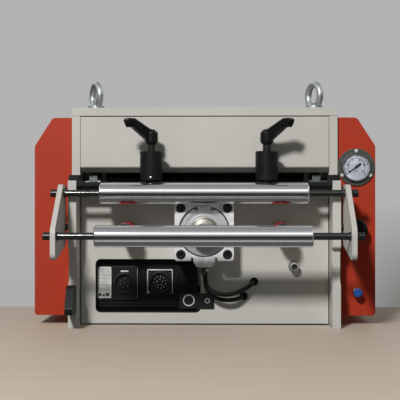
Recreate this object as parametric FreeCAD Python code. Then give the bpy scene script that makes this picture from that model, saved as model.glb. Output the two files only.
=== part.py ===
import FreeCAD, Part
import math
import os

# A two-roll servo feeder that pushes coil strip into a press.
# X runs to the right seen from the strip's entry side, Y runs with the strip, Z is up.
# The origin is on the floor, at the centre of the bolt pattern under the side plates.

V = FreeCAD.Vector

# Frame
PLATE_IN = 183.3          # inner faces of the side plates, from the middle
PLATE_OUT = 195.3         # outer faces of the side plates
FRONT = -98.0             # front of the entry panel and of the plates above the nose
REAR = 140.0
NOSE_FRONT = -140.0
NOSE_TOP = 211.8
PLATE_TOP = 308.0
TOP_THICK = 12.0
PANEL_THICK = 5.0
PANEL_HALF = 181.7
PANEL_TOP = 200.0
PANEL_LOW = 2.4
COVER_PROUD = 1.5         # the upper cover stands this far in front of the plates
COVER_GAP = 1.6           # between the upper cover and the top plate
SHEET = 1.5
TIE_R = 10.0
EXIT_SLOT = (200.0, 218.0)
BASE_BOLT_X = 189.3
BASE_BOLT_Y = 100.0
BASE_BOLT_R = 4.25
BASE_BOLT_DEPTH = 20.0
TOP_SCREW_Y = (-78.0, 21.0, 120.0)
TOP_SCREW_HEAD_R = 5.5
TOP_COUNTERBORE_R = 5.8

# Covers
COVER_OUT = 251.4
COVER_FRONT = -92.0
COVER_LOW = 13.8
COVER_TOP = 305.6
COVER_SHOULDER_X = 224.4
COVER_SHOULDER_Z = 263.7
COVER_SHEET = 2.0
COVER_SCREW_X = 210.0
COVER_SCREW_Y = (-70.0, 24.0, 118.0)
COVER_SCREW_HOLE_R = 2.05
GAUGE_HOLE_R = 20.0
KNOB_HOLE_R = 6.5
INLET_HOLE_R = 6.6

# Feed rolls, one above the other with the strip between them
ROLL_Y = -28.0
ROLL_R = 27.25
ROLL_HALF = 150.0
LOWER_ROLL_Z = 181.25
GEAR_MODULE = 2.5
GEAR_TEETH = 22
UPPER_ROLL_Z = LOWER_ROLL_Z + GEAR_MODULE * GEAR_TEETH
JOURNAL_R = 10.0
BEARING_R = 21.0
BEARING_GROOVE = (18.0, 14.0)
UPPER_JOURNAL_HOLE_R = 14.0
RUN = 0.05                # running clearance on a radius

# Swing frame that carries the upper roll
PIVOT_Y = -68.0
PIVOT_Z = 208.75
PIVOT_R = 8.0
ARM_IN = 160.0
ARM_OUT = 172.0
RELEASE_Z = 139.0
SWING_BAR_R = 14.0
LINK_GAP = 0.3            # between the rod's end and the cross bar

# Release cylinder
CYL_HALF = 42.5
CYL_FRONT = -135.0
CYL_COVER_FRONT = -133.0
CYL_CHAMBER = (-128.0, -108.0)
CYL_BORE_R = 31.5
CYL_COVER_R = 37.0
CYL_SCREW = 33.5
CYL_COUNTERBORE_R = 7.0
CYL_COUNTERBORE_DEPTH = 9.0
CYL_BOSS_DROP = 9.0
CYL_GROOVE_X = 17.3
ROD_R = 10.0
ROD_FRONT = -160.0
ROD_NUT_R = 21.0
ROD_NUT_FACE_R = 12.4
ROD_NUT_CONE = 3.5

# Springs
SPRING_X = 112.0
SPRING_R = 13.0
SPRING_BOLT_R = 6.0
SPRING_BORE_R = 6.9
SPRING_END = -149.6
SPRING_BOLT_FRONT = -164.0

# Entry rollers on outrigger arms
OUTRIGGER_IN = 199.3
OUTRIGGER_OUT = 206.3
ENTRY_R = 15.0
ENTRY_HALF = 148.0
ENTRY_SHAFT_R = 5.0
ENTRY_COLLAR_R = 6.0
UPPER_ENTRY = (-151.0, 193.5)
LOWER_ENTRY = (-216.0, 134.8)
SPACER_AT = ((-135.2, 145.0), (-135.2, 197.0))
SPACER_R = 4.8

# Edge guides on the slotted bar
BAR_BACK = -118.0
BAR_TOP = 210.0
BAR_LOW = 194.5
BAR_RELIEF_Z = (198.5, 204.5)
BAR_RELIEF = 6.0          # the lower front is set back, clear of the upper entry roller
SLOT_HALF = 168.0
SLOT_NECK = 4.3
SLOT_WIDE = 5.5
SLOT_WIDE_Z = (202.5, 206.5)
NUT_GAP = 0.4
GUIDE_Y = -131.0
GUIDE_X = {"left": -76.0, "right": 90.0}
GUIDE_R = 16.5
GUIDE_AXLE_R = 6.0
GUIDE_LOW = 211.6
GUIDE_TOP = 254.0
GUIDE_AXLE_TOP = 264.2
CLAMP_THREAD_R = 4.0
LEVER_LOW = 264.5
LEVER_FOOT_R = 8.3
LEVER_HUB_LOW = 267.0
LEVER_HUB_TOP = 283.0
LEVER_HALF = 5.4
LEVER_TURN = 40.0

# Motor and belt drive
MOTOR_Y = -33.0
MOTOR_Z = 66.0
MOTOR_HALF = 50.0
MOTOR_FLANGE_HALF = 55.0
MOTOR_END = -12.0
MOTOR_PILOT_R = 32.0
MOTOR_SHAFT_R = 9.0
MOTOR_PULLEY_R = 19.1
ROLL_PULLEY_R = 38.2
PULLEY_IN = 201.0
PULLEY_OUT = 219.0
GEAR_IN = 199.0
GEAR_OUT = 215.0

# Connector window in the entry panel
WINDOW_X = (-160.6, -5.6)
WINDOW_Z = (17.9, 97.0)
WINDOW_CORNER_R = 7.8
CLIP_X = (-37.0, 14.0)              # black bracket over the window's lower right corner
CLIP_Z = (24.2, 46.7)
CLIP_THICK = 2.0
CLIP_SCREW = (4.3, 36.1)
CLIP_SCREW_R = 3.2
POWER_AT = (-118.9, 60.7)
ENCODER_AT = (-66.3, 62.2)
PIN_R = 0.75

# Air supply
HOSE_R = 3.175
HOSE_FRONT_HOLE = (72.9, 64.3)
HOSE_REAR_HOLE = (57.5, 43.0)
FITTING_X = 1.0
FITTING_Y = (-126.0, -108.0)
FITTING_END = 76.0
HOSE_END = -84.0
GROMMET_R = 4.6
TUBE_AT = (131.3, 86.3)
TUBE_R = 6.75
TUBE_BORE_R = 3.7
GAUGE_AT = (222.9, 232.3)
GAUGE_FLANGE_R = 27.25
GAUGE_RIM_R = 21.2
GAUGE_SCREW_AT = 24.3
GAUGE_SCREW_R = 2.4
GAUGE_ZERO = -127.0
KNOB_AT = (221.5, 140.8)
KNOB_R = 15.4
STEM_R = 6.0
INLET_AT = (223.8, 48.6)
INLET_R = 6.5
AIR_TUBE_R = 3.25

# Lifting eyes
EYE_X = 166.8
EYE_Y = -35.0
EYE_RING_R = 17.5
EYE_WIRE_R = 5.0
EYE_RING_Z = 343.5
EYE_SHANK_R = 5.0
EYE_TURN = 65.0

# Socket-head screws: thread size, head radius, head height, key width
M8 = (8.0, 6.5, 8.0, 6.0)
M4 = (4.0, 3.5, 2.4, 2.5)
SHAFT_SCREW = (8.0, 5.5, 12.0, 5.0)


def block(x, y, z):
    """A block between the low and high value on each axis."""
    return Part.makeBox(x[1] - x[0], y[1] - y[0], z[1] - z[0], V(x[0], y[0], z[0]))


def bar(axis, at, radius, start, end):
    """A round bar along an axis; at holds its other two coordinates in X, Y, Z order."""
    bases = {"x": (start, at[0], at[1]), "y": (at[0], start, at[1]), "z": (at[0], at[1], start)}
    ways = {"x": V(1, 0, 0), "y": V(0, 1, 0), "z": V(0, 0, 1)}
    return Part.makeCylinder(radius, end - start, V(*bases[axis]), ways[axis])


def ring(axis, at, outer, inner, start, end):
    return bar(axis, at, outer, start, end).cut(bar(axis, at, inner, start - 1, end + 1))


def fuse(solids):
    whole = solids[0]
    for solid in solids[1:]:
        whole = whole.fuse(solid)
    return whole.removeSplitter()


def cut(solid, tools):
    for tool in tools:
        solid = solid.cut(tool)
    return solid


def mirrored(side, low, high):
    """The same X span on the left (side -1) or on the right (side 1)."""
    return (low, high) if side > 0 else (-high, -low)


def corner(before, at, after, radius):
    """The two tangent points and the middle point of a rounded corner."""
    back = (before - at).normalize()
    ahead = (after - at).normalize()
    half = back.getAngle(ahead) / 2
    reach = radius / math.tan(half)
    bisector = (back + ahead).normalize()
    middle = at + bisector * (radius / math.sin(half) - radius)
    return at + back * reach, middle, at + ahead * reach


def outline(plane, corners, start, end):
    """A prism from a closed outline of (u, v, corner radius), extruded from start to end."""
    to_space = {
        "yz": lambda u, v: V(start, u, v),
        "xz": lambda u, v: V(u, start, v),
        "xy": lambda u, v: V(u, v, start),
    }[plane]
    way = {"yz": V(end - start, 0, 0), "xz": V(0, end - start, 0), "xy": V(0, 0, end - start)}[plane]
    points = [to_space(u, v) for u, v, _ in corners]
    count = len(points)
    spans = []
    for i in range(count):
        if corners[i][2] > 0:
            spans.append(corner(points[i - 1], points[i], points[(i + 1) % count], corners[i][2]))
        else:
            spans.append((points[i], None, points[i]))
    edges = []
    for i in range(count):
        first, middle, last = spans[i]
        if middle is not None:
            edges.append(Part.Arc(first, middle, last).toShape())
        following = spans[(i + 1) % count][0]
        if (following - last).Length > 1e-6:
            edges.append(Part.LineSegment(last, following).toShape())
    return Part.Face(Part.Wire(edges)).extrude(way)


def square(plane, centre, half, radius, start, end):
    u, v = centre
    corners = [(u - half, v - half, radius), (u + half, v - half, radius)]
    corners += [(u + half, v + half, radius), (u - half, v + half, radius)]
    return outline(plane, corners, start, end)


def hexagon(width, height):
    """A hexagonal prism on +Z from the origin, width across its flats."""
    reach = width / math.sqrt(3)
    turns = [math.radians(60 * i) for i in range(7)]
    points = [V(reach * math.cos(a), reach * math.sin(a), 0) for a in turns]
    return Part.Face(Part.makePolygon(points)).extrude(V(0, 0, height))


def placed(shape, at, way):
    """Turns a shape made on +Z so that its +Z points along way, and moves it to at."""
    shape = shape.copy()
    shape.Placement = FreeCAD.Placement(V(*at), FreeCAD.Rotation(V(0, 0, 1), V(*way)))
    return shape


def screw(size, shank, at, way):
    """A socket-head screw whose head stands along way from the seat at at."""
    thread, head_r, head_h, key = size
    head = Part.makeCylinder(head_r, head_h)
    head = head.makeChamfer(0.6, [e for e in head.Edges if abs(e.CenterOfMass.z - head_h) < 0.01])
    body = head.fuse(Part.makeCylinder(thread / 2, shank, V(0, 0, -shank)))
    socket = hexagon(key, head_h * 0.55)
    socket.translate(V(0, 0, head_h * 0.45))
    return placed(body.cut(socket), at, way)


def side_plate(side):
    x = mirrored(side, PLATE_IN, PLATE_OUT)
    corners = [
        (NOSE_FRONT + 1, 0, 0),
        (REAR, 0, 0),
        (REAR, PLATE_TOP, 0),
        (FRONT, PLATE_TOP, 0),
        (FRONT, NOSE_TOP, 0),
        (NOSE_FRONT, NOSE_TOP, 0),
        (NOSE_FRONT, 114, 5),
        (NOSE_FRONT + 10, 114, 4),
        (NOSE_FRONT + 10, 62, 8),
        (NOSE_FRONT + 1, 62, 1),
    ]
    plate = outline("yz", corners, x[0], x[1])
    holes = [
        bar("x", (ROLL_Y, LOWER_ROLL_Z), BEARING_R, x[0] - 1, x[1] + 1),
        bar("x", (PIVOT_Y, PIVOT_Z), PIVOT_R + RUN, x[0] - 1, x[1] + 1),
    ]
    if side > 0:
        lifted = (ROLL_Y - 1.3, UPPER_ROLL_Z + 1.7)
        holes.append(bar("x", lifted, UPPER_JOURNAL_HOLE_R, x[0] - 1, x[1] + 1))
    else:
        holes.append(bar("x", (MOTOR_Y, MOTOR_Z), MOTOR_PILOT_R, x[0] - 1, x[1] + 1))
    for y in (-BASE_BOLT_Y, BASE_BOLT_Y):
        holes.append(bar("z", (side * BASE_BOLT_X, y), BASE_BOLT_R, -1, BASE_BOLT_DEPTH))
    for y in TOP_SCREW_Y:
        holes.append(bar("z", (side * BASE_BOLT_X, y), M8[0] / 2 + RUN, PLATE_TOP - 20, PLATE_TOP + 1))
    return cut(plate, holes)


def top_plate():
    plate = block((-PLATE_OUT, PLATE_OUT), (FRONT, REAR), (PLATE_TOP, PLATE_TOP + TOP_THICK))
    top = PLATE_TOP + TOP_THICK
    holes = []
    for side in (-1, 1):
        holes.append(bar("z", (side * EYE_X, EYE_Y), EYE_SHANK_R + RUN, PLATE_TOP - 1, top + 1))
        for y in TOP_SCREW_Y:
            holes.append(bar("z", (side * BASE_BOLT_X, y), M8[0] / 2 + 0.5, PLATE_TOP - 1, top + 1))
            at = (side * BASE_BOLT_X, y)
            holes.append(bar("z", at, TOP_COUNTERBORE_R, top - M8[2], top + 1))
    return cut(plate, holes)


def entry_panel():
    y = (FRONT, FRONT + PANEL_THICK)
    panel = block((-PANEL_HALF, PANEL_HALF), y, (PANEL_LOW, PANEL_TOP))
    x0, x1 = WINDOW_X
    z0, z1 = WINDOW_Z
    r = WINDOW_CORNER_R
    window = [(x0, z0, r), (x1, z0, r), (x1, z1, r), (x0, z1, r)]
    holes = [outline("xz", window, y[0] - 1, y[1] + 1)]
    holes.append(bar("y", (0, RELEASE_Z), ROD_R + 2, y[0] - 1, y[1] + 1))
    for side in (-1, 1):
        holes.append(bar("y", (side * SPRING_X, RELEASE_Z), SPRING_BOLT_R + 0.6, y[0] - 1, y[1] + 1))
        for up in (-1, 1):
            at = (side * CYL_SCREW, RELEASE_Z + up * CYL_SCREW)
            holes.append(bar("y", at, M8[0] / 2 + RUN, y[0] - 1, y[1] + 1))
    for hole in (HOSE_FRONT_HOLE, HOSE_REAR_HOLE):
        holes.append(bar("y", hole, GROMMET_R, y[0] - 1, y[1] + 1))
    holes.append(bar("y", TUBE_AT, TUBE_R + RUN, y[0] - 1, y[1] + 1))
    return cut(panel, holes)


def upper_cover():
    """A sheet over the throat, bent inwards along its lower edge."""
    front = FRONT - COVER_PROUD
    top = PLATE_TOP - COVER_GAP
    corners = [
        (front, top, 0.8),
        (front, 232, 3),
        (-80, 225, 0),
        (-79.5, 226.4, 0),
        (front + SHEET, 233, 1.5),
        (front + SHEET, top, 0),
    ]
    return outline("yz", corners, -PANEL_HALF - 0.8, PANEL_HALF + 0.8)


def rear_panel():
    y = (REAR - 8, REAR - 4)
    panel = block((-PANEL_HALF, PANEL_HALF), y, (PANEL_LOW, 300.0))
    return panel.cut(block((-ROLL_HALF - 4, ROLL_HALF + 4), (y[0] - 1, y[1] + 1), EXIT_SLOT))


def tie_bars():
    x = (-PLATE_IN, PLATE_IN)
    front_y = (FRONT + PANEL_THICK, FRONT + PANEL_THICK + 10)
    bars = [
        block(x, front_y, (PANEL_LOW, 10.5)),
        block(x, front_y, (180.0, PANEL_TOP - 1)),
        bar("x", (112.0, 30.0), TIE_R, x[0], x[1]),
        bar("x", (112.0, 285.0), TIE_R, x[0], x[1]),
    ]
    return Part.makeCompound(bars)


def eye_bolts():
    top = PLATE_TOP + TOP_THICK
    bolts = []
    for side in (-1, 1):
        eye = Part.makeTorus(EYE_RING_R, EYE_WIRE_R, V(0, 0, 0), V(0, 1, 0))
        eye.translate(V(0, 0, EYE_RING_Z - top))
        collar = Part.makeCylinder(12.5, 8.0)
        cone = Part.makeCone(10.5, 6.5, 4.0, V(0, 0, 8.0))
        shank = Part.makeCylinder(EYE_SHANK_R, 16.0, V(0, 0, -16.0))
        bolt = fuse([collar, cone, shank, eye])
        bolt.rotate(V(0, 0, 0), V(0, 0, 1), -EYE_TURN)
        bolt.translate(V(side * EYE_X, EYE_Y, top))
        bolts.append(bolt)
    return Part.makeCompound(bolts)


def side_cover(side):
    edge = COVER_SHEET
    outer = [
        (PLATE_OUT, COVER_LOW, 0),
        (COVER_OUT, COVER_LOW, 5),
        (COVER_OUT, COVER_SHOULDER_Z, 8),
        (COVER_SHOULDER_X, COVER_TOP, 8),
        (PLATE_OUT, COVER_TOP, 0),
    ]
    inner = [
        (PLATE_OUT - 1, COVER_LOW + edge, 0),
        (COVER_OUT - edge, COVER_LOW + edge, 3),
        (COVER_OUT - edge, COVER_SHOULDER_Z - 0.6, 6),
        (COVER_SHOULDER_X - 1.1, COVER_TOP - edge, 6),
        (PLATE_OUT - 1, COVER_TOP - edge, 0),
    ]
    front = outline("xz", outer, COVER_FRONT, COVER_FRONT + edge)
    wrap = outline("xz", outer, COVER_FRONT + edge, REAR)
    wrap = wrap.cut(outline("xz", inner, COVER_FRONT, REAR - edge))
    for y in COVER_SCREW_Y:
        at = (COVER_SCREW_X, y)
        wrap = wrap.cut(bar("z", at, COVER_SCREW_HOLE_R, COVER_TOP - edge - 1, COVER_TOP + 1))
    if side > 0:
        for at, radius in ((GAUGE_AT, GAUGE_HOLE_R), (KNOB_AT, KNOB_HOLE_R), (INLET_AT, INLET_HOLE_R)):
            front = front.cut(bar("y", at, radius, COVER_FRONT - 1, COVER_FRONT + edge + 1))
    shell = Part.makeCompound([front, wrap])
    if side < 0:
        shell = shell.mirror(V(0, 0, 0), V(1, 0, 0))
    return shell


def cover_screws():
    """Button-head screws on the top edge of each side cover."""
    screws = []
    for side in (-1, 1):
        for y in COVER_SCREW_Y:
            at = (side * COVER_SCREW_X, y, COVER_TOP)
            screws.append(screw(M4, COVER_SHEET, at, (0, 0, 1)))
    return Part.makeCompound(screws)


def socket_screws():
    """Every M8 socket-head screw of the fixed frame."""
    top = PLATE_TOP + TOP_THICK
    screws = []
    for side in (-1, 1):
        for y in TOP_SCREW_Y:
            screws.append(placed_top_screw(side * BASE_BOLT_X, y, top))
        for up in (-1, 1):
            at = (side * CYL_SCREW, CYL_FRONT + CYL_COUNTERBORE_DEPTH, RELEASE_Z + up * CYL_SCREW)
            screws.append(screw(M8, 32.0, at, (0, -1, 0)))
        for y, z in (UPPER_ENTRY, LOWER_ENTRY):
            screws.append(screw(SHAFT_SCREW, 0.5, (side * OUTRIGGER_OUT, y, z), (side, 0, 0)))
    return Part.makeCompound(screws)


def placed_top_screw(x, y, top):
    """The top plate's screws sit flush, with a head that fits inside the plate's edge."""
    flush = (M8[0], TOP_SCREW_HEAD_R, M8[2], M8[3])
    return screw(flush, 14.0, (x, y, top - M8[2]), (0, 0, 1))


def nose_caps():
    caps = []
    for side in (-1, 1):
        x = mirrored(side, 179.4, PLATE_OUT - 1.4)
        cap = block(x, (NOSE_FRONT, FRONT - 1), (NOSE_TOP, NOSE_TOP + 8.2))
        lip = block(mirrored(side, 179.4, PLATE_IN), (NOSE_FRONT, FRONT - 1), (BAR_TOP + 0.2, NOSE_TOP))
        caps.append(fuse([cap, lip]))
    return Part.makeCompound(caps)


def guide_bar():
    """Cross bar with a T-slot open at the top, where the guides slide."""
    corners = [
        (NOSE_FRONT + BAR_RELIEF, BAR_LOW, 0),
        (BAR_BACK, BAR_LOW, 0),
        (BAR_BACK, BAR_TOP, 0),
        (NOSE_FRONT, BAR_TOP, 0),
        (NOSE_FRONT, BAR_RELIEF_Z[1], 0),
        (NOSE_FRONT + BAR_RELIEF, BAR_RELIEF_Z[0], 0),
    ]
    whole = outline("yz", corners, -PLATE_IN, PLATE_IN)
    x = (-SLOT_HALF, SLOT_HALF)
    neck = block(x, (GUIDE_Y - SLOT_NECK, GUIDE_Y + SLOT_NECK), (SLOT_WIDE_Z[1] - 1, BAR_TOP + 1))
    wide = block(x, (GUIDE_Y - SLOT_WIDE, GUIDE_Y + SLOT_WIDE), SLOT_WIDE_Z)
    return cut(whole, [neck, wide])


def sensor_block():
    foot = NOSE_FRONT + 1
    corners = [(foot, 22.6, 1), (foot, 62, 1), (-159, 62, 3), (-177, 32, 5), (-177, 22.6, 4)]
    return outline("yz", corners, -PLATE_OUT + 0.3, -PLATE_IN)


def window_clip():
    plate = block(CLIP_X, (FRONT - CLIP_THICK, FRONT), CLIP_Z)
    head = bar("y", CLIP_SCREW, CLIP_SCREW_R, FRONT - 2 * CLIP_THICK, FRONT - CLIP_THICK)
    return fuse([plate, head])


def entry_arm(side):
    x = mirrored(side, OUTRIGGER_IN, OUTRIGGER_OUT)
    corners = [
        (-130, 206, 6),
        (-158, 206, 10),
        (-231, 144, 16),
        (-231, 100.5, 10),
        (-130, 120, 8),
    ]
    arm = outline("yz", corners, x[0], x[1])
    holes = []
    for at in (UPPER_ENTRY, LOWER_ENTRY):
        holes.append(bar("x", at, ENTRY_SHAFT_R + RUN, x[0] - 1, x[1] + 1))
    return cut(arm, holes)


def arm_spacers():
    spacers = []
    for side in (-1, 1):
        for at in SPACER_AT:
            x = mirrored(side, PLATE_OUT, OUTRIGGER_IN)
            spacers.append(bar("x", at, SPACER_R, x[0], x[1]))
    return Part.makeCompound(spacers)


def entry_shafts():
    """Fixed shafts, each with a collar inside either arm."""
    shafts = []
    for at in (UPPER_ENTRY, LOWER_ENTRY):
        pieces = [bar("x", at, ENTRY_SHAFT_R, -OUTRIGGER_OUT + 0.5, OUTRIGGER_OUT - 0.5)]
        for side in (-1, 1):
            x = mirrored(side, OUTRIGGER_IN - 3, OUTRIGGER_IN)
            pieces.append(bar("x", at, ENTRY_COLLAR_R, x[0], x[1]))
        shafts.append(fuse(pieces))
    return Part.makeCompound(shafts)


def entry_roller(at):
    roller = bar("x", at, ENTRY_R, -ENTRY_HALF, ENTRY_HALF)
    ends = [e for e in roller.Edges if abs(abs(e.CenterOfMass.x) - ENTRY_HALF) < 0.01]
    roller = roller.makeChamfer(1.5, ends)
    return roller.cut(bar("x", at, ENTRY_SHAFT_R + RUN, -ENTRY_HALF - 1, ENTRY_HALF + 1))


def guide_stud(x):
    """Slot nut in the bar, shoulder above it and the axle that the guide roller turns on."""
    half = SLOT_WIDE - NUT_GAP
    nut_z = (SLOT_WIDE_Z[0] + NUT_GAP, SLOT_WIDE_Z[1] - NUT_GAP)
    at = (x, GUIDE_Y)
    pieces = [
        block((x - 10, x + 10), (GUIDE_Y - half, GUIDE_Y + half), nut_z),
        bar("z", at, SLOT_NECK - 0.3, nut_z[1] - 1, BAR_TOP + 1),
        bar("z", at, 9.0, BAR_TOP + 0.3, GUIDE_LOW - 0.3),
        bar("z", at, GUIDE_AXLE_R, GUIDE_LOW - 0.4, GUIDE_AXLE_TOP),
        bar("z", at, CLAMP_THREAD_R, GUIDE_AXLE_TOP - 1, LEVER_HUB_TOP - 4),
    ]
    return fuse(pieces)


def guide_roller(x):
    at = (x, GUIDE_Y)
    roller = bar("z", at, GUIDE_R, GUIDE_LOW, GUIDE_TOP)
    ends = [e for e in roller.Edges if len(e.Vertexes) == 1]
    roller = roller.makeChamfer(1.0, ends)
    return roller.cut(bar("z", at, GUIDE_AXLE_R + RUN, GUIDE_LOW - 1, GUIDE_TOP + 1))


def clamp_lever(x, side):
    """Adjustable clamping lever: a domed hub and a thick arm that rises outwards to a blunt tip."""
    foot = Part.makeCylinder(LEVER_FOOT_R, LEVER_HUB_LOW - LEVER_LOW + 1, V(0, 0, LEVER_LOW))
    hub = Part.makeCone(9.8, 9.2, LEVER_HUB_TOP - LEVER_HUB_LOW, V(0, 0, LEVER_HUB_LOW))
    hub = hub.makeFillet(3.0, [e for e in hub.Edges if abs(e.CenterOfMass.z - LEVER_HUB_TOP) < 0.01])
    profile = [
        (-5.0, 273.0, 0),
        (9.5, 270.5, 2.0),
        (34.0, 287.5, 6.0),
        (41.5, 286.8, 3.0),
        (48.0, 299.9, 3.5),
        (31.0, 299.9, 7.0),
        (4.0, 285.8, 6.0),
        (-5.0, 285.0, 2.5),
    ]
    arm = outline("xz", profile, -LEVER_HALF, LEVER_HALF)
    flat = [e for e in arm.Edges if abs(abs(e.CenterOfMass.y) - LEVER_HALF) < 0.01]
    arm = arm.makeChamfer(1.5, flat)
    lever = fuse([foot, hub, arm])
    lever = lever.cut(bar("z", (0, 0), CLAMP_THREAD_R + RUN, LEVER_LOW - 1, LEVER_HUB_TOP - 3.5))
    turn = -LEVER_TURN if side > 0 else 180.0 + LEVER_TURN
    lever.rotate(V(0, 0, 0), V(0, 0, 1), turn)
    lever.translate(V(x, GUIDE_Y, 0))
    return lever


def lower_feed_roll():
    at = (ROLL_Y, LOWER_ROLL_Z)
    return fuse([
        bar("x", at, ROLL_R, -ROLL_HALF, ROLL_HALF),
        bar("x", at, JOURNAL_R, -PULLEY_OUT - 1, GEAR_OUT + 1),
    ])


def upper_feed_roll():
    at = (ROLL_Y, UPPER_ROLL_Z)
    return fuse([
        bar("x", at, ROLL_R, -ROLL_HALF, ROLL_HALF),
        bar("x", at, JOURNAL_R, -ARM_OUT - 4, GEAR_OUT + 1),
    ])


def roll_bearings():
    """One ball bearing in each side plate, for the lower roll."""
    at = (ROLL_Y, LOWER_ROLL_Z)
    bearings = []
    for side in (-1, 1):
        x = mirrored(side, PLATE_IN, PLATE_OUT)
        bearing = ring("x", at, BEARING_R, JOURNAL_R + RUN, x[0], x[1])
        for face in (x[0], x[1]):
            bearing = bearing.cut(ring("x", at, BEARING_GROOVE[0], BEARING_GROOVE[1], face - 1, face + 1))
        bearings.append(bearing)
    return Part.makeCompound(bearings)


def toothed_disc(at, teeth, shape, turn, x, bore):
    """A wheel on X; shape lists (radius, share of the tooth pitch) up one flank."""
    pitch = 2 * math.pi / teeth
    points = []
    for tooth in range(teeth):
        middle = turn + tooth * pitch
        for radius, share in shape:
            angle = middle - share * pitch
            points.append(V(x[0], at[0] + radius * math.cos(angle), at[1] + radius * math.sin(angle)))
        for radius, share in reversed(shape):
            angle = middle + share * pitch
            points.append(V(x[0], at[0] + radius * math.cos(angle), at[1] + radius * math.sin(angle)))
    points.append(points[0])
    wheel = Part.Face(Part.makePolygon(points)).extrude(V(x[1] - x[0], 0, 0))
    return wheel.cut(bar("x", at, bore, x[0] - 1, x[1] + 1))


def gear(roll_z, turn):
    pitch_r = GEAR_MODULE * GEAR_TEETH / 2
    tooth = [(pitch_r - 3.1, 0.30), (pitch_r, 0.21), (pitch_r + 2.3, 0.10)]
    return toothed_disc((ROLL_Y, roll_z), GEAR_TEETH, tooth, turn, (GEAR_IN, GEAR_OUT), JOURNAL_R)


def pulley(at, radius, teeth, bore):
    tooth = [(radius - 2.0, 0.33), (radius, 0.27)]
    x = (-PULLEY_OUT, -PULLEY_IN)
    wheel = toothed_disc(at, teeth, tooth, 0.0, (x[0] + 2, x[1] - 2), bore)
    flanges = [ring("x", at, radius - 2.2, bore, x[0], x[0] + 2)]
    flanges.append(ring("x", at, radius - 2.2, bore, x[1] - 2, x[1]))
    return fuse([wheel] + flanges)


def drive_belt():
    """A belt round both pulleys, clear of them by 0.3 mm."""
    low = V(0, MOTOR_Y, MOTOR_Z)
    high = V(0, ROLL_Y, LOWER_ROLL_Z)
    gap = 0.3
    thick = 2.6
    loops = []
    for grow in (gap + thick, gap):
        loops.append(belt_loop(low, MOTOR_PULLEY_R + grow, high, ROLL_PULLEY_R + grow))
    return loops[0].cut(loops[1])


def belt_loop(low, low_r, high, high_r):
    """The hull of two discs on X, as a prism as wide as the belt."""
    x = (-PULLEY_OUT + 3, -PULLEY_IN - 3)
    line = high - low
    reach = line.Length
    line.normalize()
    across = V(0, -line.z, line.y)
    lean = math.asin((high_r - low_r) / reach)
    sides = []
    for side in (-1, 1):
        normal = across * (side * math.cos(lean)) - line * math.sin(lean)
        sides.append((low + normal * low_r, high + normal * high_r))
    low_far = low - line * low_r
    high_far = high + line * high_r
    edges = [
        Part.LineSegment(sides[0][0], sides[0][1]).toShape(),
        Part.Arc(sides[0][1], high_far, sides[1][1]).toShape(),
        Part.LineSegment(sides[1][1], sides[1][0]).toShape(),
        Part.Arc(sides[1][0], low_far, sides[0][0]).toShape(),
    ]
    loop = Part.Face(Part.Wire(edges)).extrude(V(x[1] - x[0], 0, 0))
    loop.translate(V(x[0], 0, 0))
    return loop


def motor_body():
    """Square servo motor with its flange on the left side plate and a groove round its case."""
    at = (MOTOR_Y, MOTOR_Z)
    flange = square("yz", at, MOTOR_FLANGE_HALF, 6, -PLATE_IN, -PLATE_IN + 10)
    case = square("yz", at, MOTOR_HALF, 12, -PLATE_IN + 9, MOTOR_END)
    front = MOTOR_Y - MOTOR_HALF
    grooves = []
    for z in (27.5, 32.0):
        grooves.append(block((-PLATE_IN + 14, MOTOR_END + 1), (front - 1, front + 1.2), (z, z + 1.6)))
    for x in (-58.0, -24.0):
        z = (MOTOR_Z - MOTOR_HALF - 1, MOTOR_Z + MOTOR_HALF + 1)
        y = (MOTOR_Y - MOTOR_HALF - 1, MOTOR_Y + MOTOR_HALF + 1)
        band = block((x + 20, x + 22), y, z)
        grooves.append(band.cut(square("yz", at, MOTOR_HALF - 1, 11, x + 19, x + 23)))
    case = cut(case, grooves)
    bore = bar("x", at, 14.0, -PLATE_IN - 1, -PLATE_IN + 40)
    return fuse([flange, case]).cut(bore)


def motor_pulley():
    """The motor's shaft with its belt pulley."""
    at = (MOTOR_Y, MOTOR_Z)
    shaft = bar("x", at, MOTOR_SHAFT_R, -PULLEY_OUT - 1, -PLATE_IN + 36)
    return fuse([pulley(at, MOTOR_PULLEY_R, 24, MOTOR_SHAFT_R - 0.1), shaft])


def roll_pulley():
    return pulley((ROLL_Y, LOWER_ROLL_Z), ROLL_PULLEY_R, 48, JOURNAL_R)


def pin_circle(centre, radius, count, y0, y1):
    pins = []
    for i in range(count):
        angle = 2 * math.pi * i / count + 0.3
        at = (centre[0] + radius * math.cos(angle), centre[1] + radius * math.sin(angle))
        pins.append(bar("y", at, PIN_R, y0, y1))
    return pins


def power_connector():
    """Round power connector on a tall foot, open at the front with its pins inside."""
    x, z = POWER_AT
    face = MOTOR_Y - MOTOR_HALF
    foot = [(x - 19.5, z - 24.5, 4), (x + 19.5, z - 24.5, 4), (x + 19.5, z + 24.5, 4)]
    foot.append((x - 19.5, z + 24.5, 4))
    base = outline("xz", foot, face - 3.5, face)
    shell = ring("y", POWER_AT, 15.0, 13.2, face - 8, face - 3.4)
    pins = pin_circle(POWER_AT, 6.2, 6, face - 7, face - 3.4)
    centre_pin = bar("y", POWER_AT, PIN_R, face - 7, face - 3.4)
    return fuse([base, shell, centre_pin] + pins)


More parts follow.
